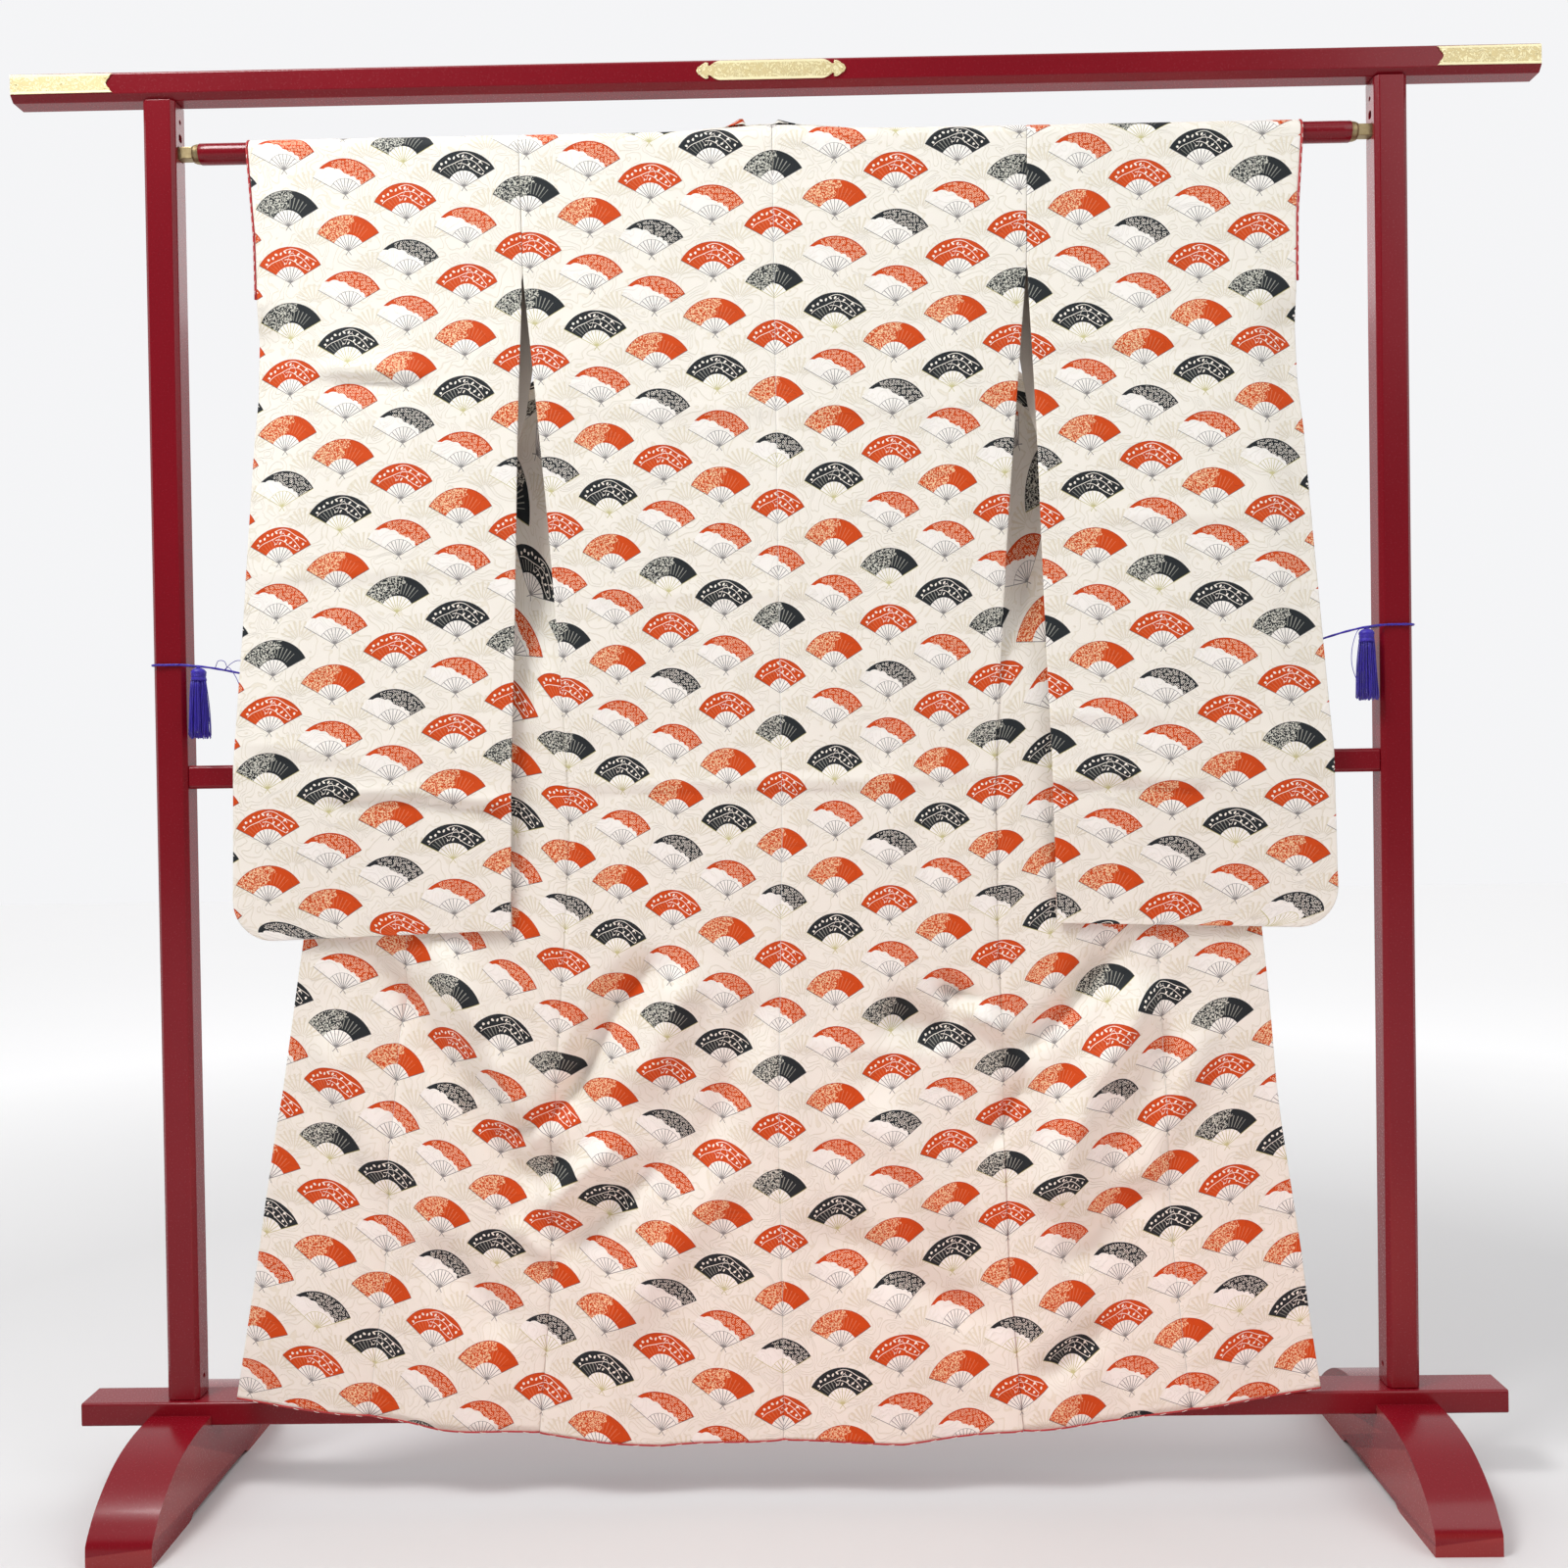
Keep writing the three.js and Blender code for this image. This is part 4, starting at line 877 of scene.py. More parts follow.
def curve_through(points, count):
    """Even points on a smooth centripetal curve through the given ones."""
    p = np.asarray(points, float)
    p = np.concatenate([[2 * p[0] - p[1]], p, [2 * p[-1] - p[-2]]])
    out = []
    for k in range(1, len(p) - 2):
        p0, p1, p2, p3 = p[k - 1:k + 3]
        t0 = 0.0
        t1 = t0 + np.linalg.norm(p1 - p0) ** 0.5
        t2 = t1 + np.linalg.norm(p2 - p1) ** 0.5
        t3 = t2 + np.linalg.norm(p3 - p2) ** 0.5
        t = np.linspace(t1, t2, 24, endpoint=False)[:, None]
        a1 = (t1 - t) / (t1 - t0) * p0 + (t - t0) / (t1 - t0) * p1
        a2 = (t2 - t) / (t2 - t1) * p1 + (t - t1) / (t2 - t1) * p2
        a3 = (t3 - t) / (t3 - t2) * p2 + (t - t2) / (t3 - t2) * p3
        b1 = (t2 - t) / (t2 - t0) * a1 + (t - t0) / (t2 - t0) * a2
        b2 = (t3 - t) / (t3 - t1) * a2 + (t - t1) / (t3 - t1) * a3
        out.append((t2 - t) / (t2 - t1) * b1 + (t - t1) / (t2 - t1) * b2)
    line = np.concatenate([*out, [p[-2]]])
    way = np.concatenate([[0], np.cumsum(np.linalg.norm(np.diff(line, axis=0), axis=1))])
    even = np.linspace(0, way[-1], count)
    return np.stack([np.interp(even, way, line[:, k]) for k in range(3)], 1)


# ================================================================ the form of the cloth
def smooth(t):
    """0 up to 0, 1 from 1 on, and a smooth step between them."""
    t = np.clip(t, 0.0, 1.0)
    return t * t * (3 - 2 * t)


def cut(column, z):
    """Width of a piece of the body at a height."""
    return np.interp(z, BODY_CUT[:, 0], BODY_CUT[:, column])


def depth(column, z):
    """How far forward or back a layer hangs at a height."""
    return np.interp(z, DEPTH[:, 0], DEPTH[:, column])


# Columns of BODY_CUT and of DEPTH.
SIDE, FRONT, OKUMI = 1, 2, 3
BACK_Y, FRONT_Y, SLEEVE_BACK_Y, SLEEVE_FRONT_Y = 1, 2, 3, 4


def to_line(x, z, x0, z0, x1, z1):
    """Share along a line, signed distance from it, and how far along its taper."""
    dx, dz = x1 - x0, z1 - z0
    length = math.hypot(dx, dz)
    share = ((x - x0) * dx + (z - z0) * dz) / length ** 2
    off = ((x - x0) * -dz + (z - z0) * dx) / length
    return share, off, smooth((share + 0.18) / 0.4) * smooth((1.18 - share) / 0.4)


def soft_creases(x, z, creases):
    push = np.zeros(np.broadcast(x, z).shape)
    for x0, z0, x1, z1, width, deep in creases:
        _, off, fade = to_line(x, z, x0, z0, x1, z1)
        push += CREASE_DEPTH * deep * np.exp(-((off / (CREASE_WIDTH * width)) ** 2)) * fade
    return push


def pressed_lines(x, z, lines):
    """Sharp steps: the cloth stands out on one side of a pressed line and lies in on the other."""
    push = np.zeros(np.broadcast(x, z).shape)
    for x0, z0, x1, z1, width, high in lines:
        _, off, fade = to_line(x, z, x0, z0, x1, z1)
        s = off / width
        push += PRESSED_DEPTH * high * fade * (np.exp(-np.abs(s) / 2.2) * np.tanh(s * 1.6) + 0.35 * np.exp(-s * s))
    return push


def ripple(x, z):
    """The silk's own unevenness."""
    return (0.55 * np.sin(x / 37 + 1.7 * np.sin(z / 83)) * np.sin(z / 61 + 0.6)
            + 0.35 * np.sin(x / 19 - z / 47) * np.sin(z / 131 + x / 90))


def below_waist(z):
    """0 above the waist, 1 where the skirt's creases have their full depth."""
    return smooth((SKIRT_TOP + 5 - z) / 90)


def skirt_push(x, z):
    """How far the skirt's waves and creases stand out, at nominal height."""
    grow = smooth((760 - z) / 640)
    push = sum(deep * np.exp(-(((x - at) / wide) ** 2)) for at, wide, deep in SKIRT_FOLDS) * grow
    side = cut(SIDE, z)
    seams = sum(beside(np.abs(x) - at, SEAM_REACH) for at in (0.0, side, side + cut(FRONT, z)))
    push -= SEAM_DEPTH * seams * smooth((900 - z) / 200)
    return push + (soft_creases(x, z, BODY_CREASES) + ripple(x, z)) * below_waist(z)


def back_push(x, z):
    fade = smooth((1640 - z) / 60)
    lines = np.maximum(pressed_lines(x, z, BODY_PRESSED), -0.3)
    return skirt_push(x, z) + lines * fade + ripple(x, z) * fade * (1 - below_waist(z))


def drop(x, z):
    """Height at which a point hangs: the hem rises towards the sides."""
    hem = np.interp(np.abs(x), HEM_LINE[:, 0], HEM_LINE[:, 1])
    return np.where(z >= SKIRT_TOP, z, hem + (SKIRT_TOP - hem) * (z - HEM) / (SKIRT_TOP - HEM))


def sway(x, z):
    """The skirt hangs a little to the left, and is narrower on the right."""
    shift = np.interp(z, (70, 250, 430, 640, 820), (-9, -8, -10, -5, 0))
    narrow = 1 - 0.024 * smooth((660 - z) / 590) * (x > 0)
    return x * narrow + shift


def over_pole(x, turn):
    """Point on the cloth over the pole; the neck's layers lift it in the middle."""
    lift = 7 * np.exp(-((x / 80) ** 2)) * np.sin(turn) ** 2
    return np.stack(np.broadcast_arrays(x, -RIDGE * np.cos(turn), POLE_Z + RIDGE * np.sin(turn) + lift), -1)


def back_place(side, x, z):
    x = side * x
    return np.stack(np.broadcast_arrays(sway(x, z), depth(BACK_Y, z) - back_push(x, z), drop(x, z)), -1)


def fold_line(z):
    """Where the front turns back, from the centre."""
    side = cut(SIDE, z)
    start = NECK - COLLAR - FOLD_ROLL * math.pi / 2
    t = np.clip((FOLD_START - z) / (FOLD_START - FOLD_END), 0, 1)
    return start + (side - start) * (1 - (1 - t) ** 1.85)


def front_place(side, q, z):
    """Point of a front, q along the cloth from the side seam: inward, round the roll and out again."""
    seam = cut(SIDE, z)
    closed = seam - fold_line(z)
    roll = np.minimum(FOLD_ROLL, closed * 0.6)
    flat = closed - math.pi * roll / 2
    behind = depth(BACK_Y, z) + 1.9
    sewn = smooth((1400 - z) / 100) * (1 - smooth(q / 60))
    y = depth(FRONT_Y, z)
    y = y + (behind - y) * sewn
    safe = np.maximum(roll, 0.01)
    turn = np.clip((q - flat) / safe, 0, math.pi)
    rolled = (roll > 0.01) & (q > flat)
    x = np.where(rolled, seam - flat - roll * np.sin(turn) + np.maximum(0, q - flat - math.pi * roll), seam - q)
    y = np.where(rolled, y + roll * (1 - np.cos(turn)), y)
    x = side * np.where(closed <= 0.02, seam + q, x)
    return np.stack(np.broadcast_arrays(sway(x, z), y - skirt_push(x, z), drop(x, z)), -1)


def print_lift(side, z, part):
    """How much higher the print lies than on a flat cloth, because the waves take it up."""
    heights, lifts = PRINT_LIFT[side, part]
    return np.interp(z, heights, lifts)


def back_cloth(side, x, z):
    """Cloth coordinates of the back: its full width is gathered into the waves of the skirt."""
    width = 4 * FAN_COLUMN - 1 + 10 * smooth((z - 650) / 600)
    share = x / cut(SIDE, z)
    down = z - print_lift(side, z, "seam") * smooth(share)
    return np.stack(np.broadcast_arrays(side * share * width, down - PRINT_HEIGHT), -1)


def front_cloth(side, q, z, okumi=False):
    """Cloth coordinates of a front: the grain turns where the front is folded back on a slant."""
    low, high = cut(SIDE, z - 5) - fold_line(z - 5), cut(SIDE, z + 5) - fold_line(z + 5)
    closed = (low + high) / 2
    slant = np.arctan(np.maximum(0.0, (high - low) / 10))
    past = np.maximum(0.0, q - closed)
    on_grain = np.minimum(q, closed) + past * np.cos(2 * slant)
    if okumi:
        across = 7 * FAN_COLUMN + 1 + on_grain - cut(FRONT, z)
    else:
        across = 4 * FAN_COLUMN + 1 + on_grain * (3 * FAN_COLUMN - 1) / cut(FRONT, z)
    seam, far = print_lift(side, z, "seam"), print_lift(side, z, "okumi")
    lift = far if okumi else seam + (far - seam) * on_grain / cut(FRONT, z)
    down = z - past * np.sin(2 * slant) - 0.17 * on_grain - lift
    return np.stack(np.broadcast_arrays(side * across, down - PRINT_HEIGHT), -1)


def sleeve_x(z, t):
    """Place across a sleeve, t from its inner edge to its outer edge."""
    inner = np.interp(z, SLEEVE_CUT[:, 0], SLEEVE_CUT[:, 1])
    inner = np.where(z >= ARM_SEAM, cut(SIDE, z) + SEAM, inner)
    outer = np.interp(z, SLEEVE_CUT[:, 0], SLEEVE_CUT[:, 2])
    rise = np.clip((SLEEVE_FOOT + SLEEVE_ROUND - z) / SLEEVE_ROUND, 0, 1)
    outer = outer + SLEEVE_ROUND * (np.sqrt(1 - rise * rise) - 1)
    return inner + (outer - inner) * t


def sleeve_depths(z, t):
    """Depth of a sleeve's two layers, which meet where the outer edge is sewn."""
    back, front = depth(SLEEVE_BACK_Y, z), depth(SLEEVE_FRONT_Y, z)
    shut = smooth((CUFF_END - z) / 60) * smooth((t - 0.8) / 0.2)
    middle = (back + front) / 2
    half = 1.0
    return back + (middle - half - back) * shut, front + (middle + half - front) * shut


def rows_between(*marks, step):
    """Heights from mark to mark, about step apart."""
    out = [np.array([marks[0]])]
    for a, b in zip(marks, marks[1:]):
        out.append(np.linspace(a, b, max(1, int(round(abs(b - a) / step))) + 1)[1:])
    return np.concatenate(out)


# ================================================================ the stage
FLOOR_REACH = 9000.0
FLOOR_GLOW = (0.19, -0.30, 0.37)   # what the floor's own light grows by in a metre, its start, its most
# Lights: place, what each looks at, size, share of the key light's power, colour.
LIGHTS = (
    ("key", (-1.5, -1.25, 3.5), (0, 0, 1.0), (1.0, 1.0), 1.0, (1, 1, 1)),
    ("fill", (2.3, -2.0, 2.8), (0.2, 0, 1.0), (1.8, 1.8), 0.30, (1, 1, 1)),
    ("behind", (0.4, 2.6, 2.8), (0, 0, 1.0), (2.6, 1.2), 0.20, (1, 1, 1)),
    ("low_warm", (0.1, -0.75, 0.06), (0, -0.1, 0.35), (1.9, 0.3), 0.034, (1.0, 0.26, 0.15)),
)
PICTURE = 1600             # width and height of the picture, in pixels
FOCAL = 1590.3             # focal length, in pixels
PICTURE_SHIFT = (-5, 1)    # the picture's middle beside the lens's axis, in pixels
CAMERA_PLACE = (0.0331, -1.9414, 0.8930)
CAMERA_TURN = (0.01262, -0.01185, 0.01488)


def area_light(name, place, towards, size, power, colour):
    data = bpy.data.lights.new(name, "AREA")
    data.shape = "RECTANGLE"
    data.size, data.size_y = size
    data.energy = power
    data.color = colour
    light = bpy.data.objects.new(name, data)
    light.location = place
    light.rotation_euler = (Vector(towards) - Vector(place)).to_track_quat("-Z", "Y").to_euler()
    bpy.context.scene.collection.objects.link(light)


class KIMONO_OT_stage(bpy.types.Operator):
    """Adds the floor, the soft light and the camera"""

    bl_idname = "kimono.stage"
    bl_label = "Stage"

    def execute(self, context):
        settings = context.scene.kimono_stage
        context.scene.view_settings.view_transform = "Standard"
        world = bpy.data.worlds.new("soft_room")
        world.use_nodes = True
        self.room(world.node_tree)
        context.scene.world = world
        finish, tree, shader = material("pale_floor", roughness=0.75)
        place = node(tree, "ShaderNodeTexCoord").outputs["Object"]
        tone = noise(tree, place, 1.5, 3.0)
        colour = blend(tree, tone, rgba(settings.floor, 0.97), rgba(settings.floor))
        tree.links.new(colour, shader.inputs["Base Color"])
        # far from the stand the floor grows as bright as the room, so no horizon shows
        apart = node(tree, "ShaderNodeVectorMath", {0: place}, operation="LENGTH").outputs["Value"]
        growth, start, most = FLOOR_GLOW
        far = calc(tree, "MAXIMUM", calc(tree, "MULTIPLY_ADD", apart, growth, start), 0.0)
        tree.links.new(calc(tree, "MINIMUM", far, most), shader.inputs["Emission Strength"])
        shader.inputs["Emission Color"].default_value = (1, 1, 1, 1)
        corners = [(x * FLOOR_REACH, y * FLOOR_REACH, 0) for x, y in ((-1, -1), (1, -1), (1, 1), (-1, 1))]
        floor = mesh_object("floor", corners, [(0, 1, 2, 3)], [finish])
        for name, place, towards, size, share, colour in LIGHTS:
            area_light(name, place, towards, size, settings.key * share, colour)
        self.camera(context)
        return {"FINISHED"}

    @staticmethod
    def room(tree):
        """A white room, brighter above and behind the stand than before it."""
        towards = node(tree, "ShaderNodeSeparateXYZ", {0: node(tree, "ShaderNodeTexCoord").outputs["Generated"]})
        behind = calc(tree, "MULTIPLY_ADD", towards.outputs["Y"], 1.1, 0.45)
        over = calc(tree, "MULTIPLY_ADD", towards.outputs["Z"], 4.0, -1.9)
        colour = blend(tree, calc(tree, "MAXIMUM", over, behind), (0.155, 0.157, 0.163, 1), (0.91, 0.912, 0.925, 1))
        tree.links.new(colour, tree.nodes["Background"].inputs["Color"])
        tree.nodes["Background"].inputs["Strength"].default_value = 1.0

    @staticmethod
    def camera(context):
        yaw, pitch, roll = CAMERA_TURN
        data = bpy.data.cameras.new("camera")
        data.sensor_width = 36.0
        data.lens = 36.0 * FOCAL / PICTURE
        data.shift_x, data.shift_y = (shift / PICTURE for shift in PICTURE_SHIFT)
        data.clip_end = 60.0
        camera = bpy.data.objects.new("camera", data)
        turn = Matrix.Rotation(yaw, 3, "Z") @ Matrix.Rotation(pitch, 3, "X")
        right = turn @ Vector((math.cos(roll), 0, -math.sin(roll)))
        up = turn @ Vector((math.sin(roll), 0, math.cos(roll)))
        back = turn @ Vector((0, -1, 0))
        camera.matrix_world = Matrix([*zip(right, up, back, CAMERA_PLACE), (0, 0, 0, 1)])
        context.scene.collection.objects.link(camera)
        context.scene.camera = camera


# ================================================================ cord and tassels
class KIMONO_OT_cord(bpy.types.Operator):
    """Adds the violet cord, its loops round the posts and its thin tie ends"""

    bl_idname = "kimono.cord"
    bl_label = "Cord"

    def execute(self, context):
        violet = finish_of("violet_silk", violet_silk)
        path = curve_through(CORD_ROUTE, 420)
        points, faces = tube(path, CORD_RADIUS, 12, ply=2, lay=9.0)
        span = outward(mesh_object("cord_span", points, faces, [violet]))
        ride_root(span, "violet_cord", "cord_span")
        for side, name in ((-1, "left"), (1, "right")):
            ring = self.ring(side)
            points, faces = tube(curve_through(ring, 170), CORD_RADIUS, 12, ply=2, lay=9.0)
            loop = outward(mesh_object(f"cord_loop_{name}", points, faces, [violet]))
            ride_root(loop, "violet_cord", f"cord_loop_{name}")
        self.tie_ends(violet)
        return {"FINISHED"}

    @staticmethod
    def ring(side):
        z = TIE_HEIGHT[side]
        a, b, c = 21.8, 20.8, 6.0
        start = a - c - 1
        ring = [(start - 1, -b), (start - 12, -b), (0, -b), (-a + c, -b), (-a, -b + c), (-a, 0), (-a, b - c),
                (-a + c, b), (0, b), (a - c, b), (a, b - c), (a, 0), (a, -b + c + 1)]
        return [(side * (POST_X - x), y, z) for x, y in ring]

    @staticmethod
    def tie_ends(violet):
        ends = (
            ((-690, -14, 1023.5), (-683, -19, 1026), (-674, -24, 1017), (-668, -26, 1006), (-664, -27, 995)),
            ((-690, -13, 1022), (-680, -20, 1030), (-668, -24, 1034), (-655, -25, 1028), (-645, -26, 1022),
             (-632, -25, 1016)),
            ((-700, -17, 1026), (-694, -22, 1034), (-686, -24, 1033), (-684, -22, 1026), (-690, -17, 1022)),
            ((712, -19, 1052), (706, -24, 1046), (700, -26, 1028), (699, -27, 1008), (703, -28, 992),
             (707, -29, 984)),
        )
        parts = [tube(curve_through(line, 40), 0.45, 6) for line in ends]
        piece = outward(mesh_object("tie_ends", *joined(parts), [violet]))
        ride_root(piece, "violet_cord")


class KIMONO_OT_tassels(bpy.types.Operator):
    """Adds the two violet tassels"""

    bl_idname = "kimono.tassels"
    bl_label = "Tassels"

    def execute(self, context):
        violet = finish_of("violet_silk", violet_silk)
        for side, name in ((-1, "left"), (1, "right")):
            parts = [self.head(), self.binding(0.0), self.binding(2.2), self.knot()]
            parts += self.strands(context.scene.kimono_cord.strands, side)
            points, faces = joined(parts)
            top = TIE_HEIGHT[side] - TASSEL_DROP[side]
            points = points + (side * TASSEL_PLACE[0], TASSEL_PLACE[1], top)
            piece = outward(mesh_object(f"tassel_{name}", points, faces, [violet]))
            ride_root(piece, "violet_cord", f"tassel_{name}")
        return {"FINISHED"}

    @staticmethod
    def head():
        profile = [(0.8, 0), (3.0, -0.3), (5.6, -1.2), (7.6, -2.6), (8.9, -4.4), (9.2, -6), (8.9, -7.6), (8.2, -9),
                   (8.1, -10), (8.5, -11.5), (9.1, -14), (9.4, -16), (5.0, -16.4), (0.8, -16.5)]
        sides = 36
        turn = 2 * math.pi * np.arange(sides) / sides
        points = np.array([[(r * (1 + 0.02 * math.cos(18 * t)) * math.cos(t),
                             r * (1 + 0.02 * math.cos(18 * t)) * math.sin(t), z) for t in turn] for r, z in profile])
        faces = [[k * sides + m, k * sides + (m + 1) % sides, (k + 1) * sides + (m + 1) % sides, (k + 1) * sides + m]
                 for k in range(len(profile) - 1) for m in range(sides)]
        faces += [list(range(sides)), [(len(profile) - 1) * sides + m for m in range(sides)]]
        return points.reshape(-1, 3), faces

    @staticmethod
    def binding(low):
        turn = np.linspace(0, 2 * math.pi * 2, 80)
        path = np.stack([8.5 * np.cos(turn), 8.5 * np.sin(turn), -8.4 - low * 0.4 - 0.12 * turn], 1)
        return tube(path, 0.55, 6)

    @staticmethod
    def knot():
        turn = np.linspace(0, 2 * math.pi, 24)
        path = np.stack([2.6 * np.cos(turn), 2.6 * np.sin(turn), 0.9 + 0.3 * np.sin(2 * turn)], 1)
        return tube(path, 0.9, 8)

    @staticmethod
    def strands(count, side):
        chance = np.random.default_rng(41 + side)
        parts = []
        for k in range(count):
            share = math.sqrt((k + 0.5) / count)
            angle = k * 2.39996 + chance.uniform(-0.1, 0.1)
            root, tip = 8.4 * share, 13.2 * share + chance.uniform(-0.7, 0.5)
            low = -86 + chance.uniform(-2.2, 3.0)
            sway = chance.uniform(-1.0, 1.0, 2)
            t = np.linspace(0, 1, 7)[:, None]
            r = root + (tip - root) * (1.5 * t - 0.5 * t * t) + 0.5 * np.sin(5 * t + k)
            path = np.concatenate([r * math.cos(angle) + sway[0] * t * (1 - share), r * math.sin(angle)
                                   + sway[1] * t * (1 - share), -13 + (low + 13) * t], 1)
            parts.append(tube(path, 0.62, 5, ply=1, lay=11.0))
        return parts


# ================================================================ the kimono
def side_name(side):
    return "left" if side < 0 else "right"


# Print of each panel: how much lower each column lies, row at the start, what the seam swallows.
PANEL_PRINTS = {
    "left": (28.3, 5.0, 3.5),
    "right": (37.5, 5.0, 3.5),
    "sleeve_left": (31.5, 0.0, 0.0),
    "sleeve_right": (34.0, 0.0, 0.0),
    "collar": (34.0, 3.0, 0.0),
}


def panel_finish(name):
    return finish_of("figured_silk_" + name, lambda: printed_silk(name, *PANEL_PRINTS[name]))


class KIMONO_OT_body(bpy.types.Operator):
    """Adds the two body panels, each one length from the back hem over the pole to the front hem"""

    bl_idname = "kimono.body"
    bl_label = "Body panels"

    def execute(self, context):
        step = context.scene.kimono_cloth.spacing / MM
        for side in (-1, 1):
            self.panel(side, step)
        return {"FINISHED"}

    @staticmethod
    def panel(side, step):
        neck_part = spread(NECK, step)
        body_part = spread(FRONT_WIDTH, step)[1:]
        neck_cols = len(neck_part) - 1
        t = np.concatenate([neck_part, 1 + body_part])

        def back_x(z):
            seam = cut(SIDE, z)
            neck = seam * NECK / cut(SIDE, POLE_Z)
            return np.where(t <= 1, SEAM / 2 + (neck - SEAM / 2) * t, neck + (seam - neck) * (t - 1))

        back_rows = rows_between(HEM, HEM + 3, HEM + 9, SKIRT_TOP, POLE_Z, step=step)
        front_rows = rows_between(POLE_Z, FOLD_START, FOLD_OPEN, FOLD_END, HEM, step=step * 1.2)
        grid = [back_place(side, back_x(z), z) for z in back_rows]
        place = [back_cloth(side, back_x(z), z) for z in back_rows]
        for turn in POLE_TURNS:
            x = side * back_x(POLE_Z)
            grid.append(over_pole(x, turn))
            place.append(back_cloth(side, back_x(POLE_Z), POLE_Z) + (0, RIDGE * turn))
        ridge_row = len(back_rows) + len(POLE_TURNS) // 2
        second = [p + 0.0 for p in place]
        for z in front_rows:
            q = cut(FRONT, z) * (1 - np.clip(t - 1, 0, 1))
            grid.append(front_place(side, q, z))
            place.append(place[-1])
            second.append(front_cloth(side, q, z))
        rows, cols = len(grid), len(t)
        i, j = np.meshgrid(np.arange(rows - 1), np.arange(cols - 1), indexing="ij")
        keep = (j >= neck_cols) | (i < ridge_row)
        soft = np.zeros((rows, cols))
        for k, row_z in enumerate(np.concatenate([back_rows, np.full(len(POLE_TURNS), POLE_Z), front_rows])):
            x = back_x(row_z)
            if k < ridge_row:
                soft[k] = np.maximum(beside(x), beside(x - x[-1]))
            else:
                soft[k] = np.maximum(beside(x - x[-1]), beside((t - 1) * FRONT_WIDTH))
        name = side_name(side)
        piece = shell(f"body_panel_{name}", np.array(grid), np.array(place),
                      [panel_finish(name), finish_of("lining_silk", lining_silk)], keep,
                      np.array(second), len(back_rows) + len(POLE_TURNS), soft, flip=side < 0)
        ride_root(piece, "figured_silk", f"body_panel_{name}")


class KIMONO_OT_okumi(bpy.types.Operator):
    """Adds the two overlap panels"""

    bl_idname = "kimono.okumi"
    bl_label = "Overlap panels"

    def execute(self, context):
        step = context.scene.kimono_cloth.spacing / MM
        rows = rows_between(HEM, HEM + 3, HEM + 9, FOLD_END, OKUMI_TIP - 8, step=step)[::-1]
        for side in (-1, 1):
            t = spread(150.0, step)
            grid, place, soft = [], [], []
            for z in rows:
                start, width = cut(FRONT, z) + SEAM, cut(OKUMI, z)
                q = start + width * t
                grid.append(front_place(side, q, z))
                place.append(front_cloth(side, q, z, okumi=True))
                soft.append(np.maximum(beside(width * t), 0.5 * beside(width * (1 - t))))
            name = side_name(side)
            piece = shell(f"okumi_{name}", np.array(grid), np.array(place),
                          [panel_finish(name), finish_of("lining_silk", lining_silk)], soft=np.array(soft),
                          flip=side > 0)
            ride_root(piece, "figured_silk", f"okumi_{name}")
        return {"FINISHED"}


class KIMONO_OT_collar(bpy.types.Operator):
    """Adds the folded collar with its stitched inner edge"""

    bl_idname = "kimono.collar"
    bl_label = "Collar"

    def execute(self, context):
        step = context.scene.kimono_cloth.spacing / MM
        t = spread(COLLAR, 5.0)
        rows = rows_between(COLLAR_END, FOLD_OPEN, FOLD_START, step=step)
        halves = {}
        for side in (-1, 1):
            grid, place = [], []
            for z in rows:
                start = cut(FRONT, z) + np.where(z < OKUMI_TIP, cut(OKUMI, z) + SEAM, 0) + 2 * SEAM
                grid.append(front_place(side, start + COLLAR * t, z))
                place.append(np.stack([side * (COLLAR * t), np.full(len(t), z)], 1))
            for sewn_x, sewn_fall, free_x, free_fall in self.neck_rows():
                x = side * (sewn_x + (free_x - sewn_x) * t)
                fall = sewn_fall + (free_fall - sewn_fall) * t
                grid.append(self.neck_place(x, fall))
                place.append(np.stack([x + 50, 46 - fall + 35.5 * smooth((x + 25) / 25)], 1))
            halves[side] = (grid, place)
        grid = halves[-1][0] + halves[1][0][::-1][1:]
        place = halves[-1][1] + halves[1][1][::-1][1:]
        soft = np.tile(np.maximum(beside(COLLAR * t), beside(COLLAR * (1 - t), 2.5)), (len(grid), 1))
        piece = shell("collar", np.array(grid), np.array(place),
                      [panel_finish("collar"), panel_finish("collar")], soft=soft, flip=True)
        ride_root(piece, "figured_silk", "collar")
        return {"FINISHED"}

    @staticmethod
    def neck_rows():
        marks = np.arange(len(NECK_CURVE))
        fine = np.linspace(0, len(NECK_CURVE) - 1, 46)
        return np.stack([np.interp(fine, marks, NECK_CURVE[:, k]) for k in range(4)], 1)

    @staticmethod
    def neck_place(x, fall):
        radius = RIDGE + COLLAR_STAND
        quarter = radius * math.pi / 2
        turn = np.minimum(fall, quarter) / radius
        left_tip = 17 * np.interp(x, (-62, -42, -37, -31), (0, 0.95, 1, 0))
        right_tip = 13 * np.interp(x, (2, 7, 13, 38), (0, 1, 0.8, 0))
        arch = np.sin(math.pi * np.minimum(fall, quarter) / quarter)
        raised = 7 * np.exp(-((x / 80) ** 2)) * np.cos(turn) + (left_tip + right_tip) * arch
        z = POLE_Z + radius * np.cos(turn) + np.maximum(raised, 0) - np.maximum(0, fall - quarter)
        return np.stack([x, radius * np.sin(turn), z], -1)


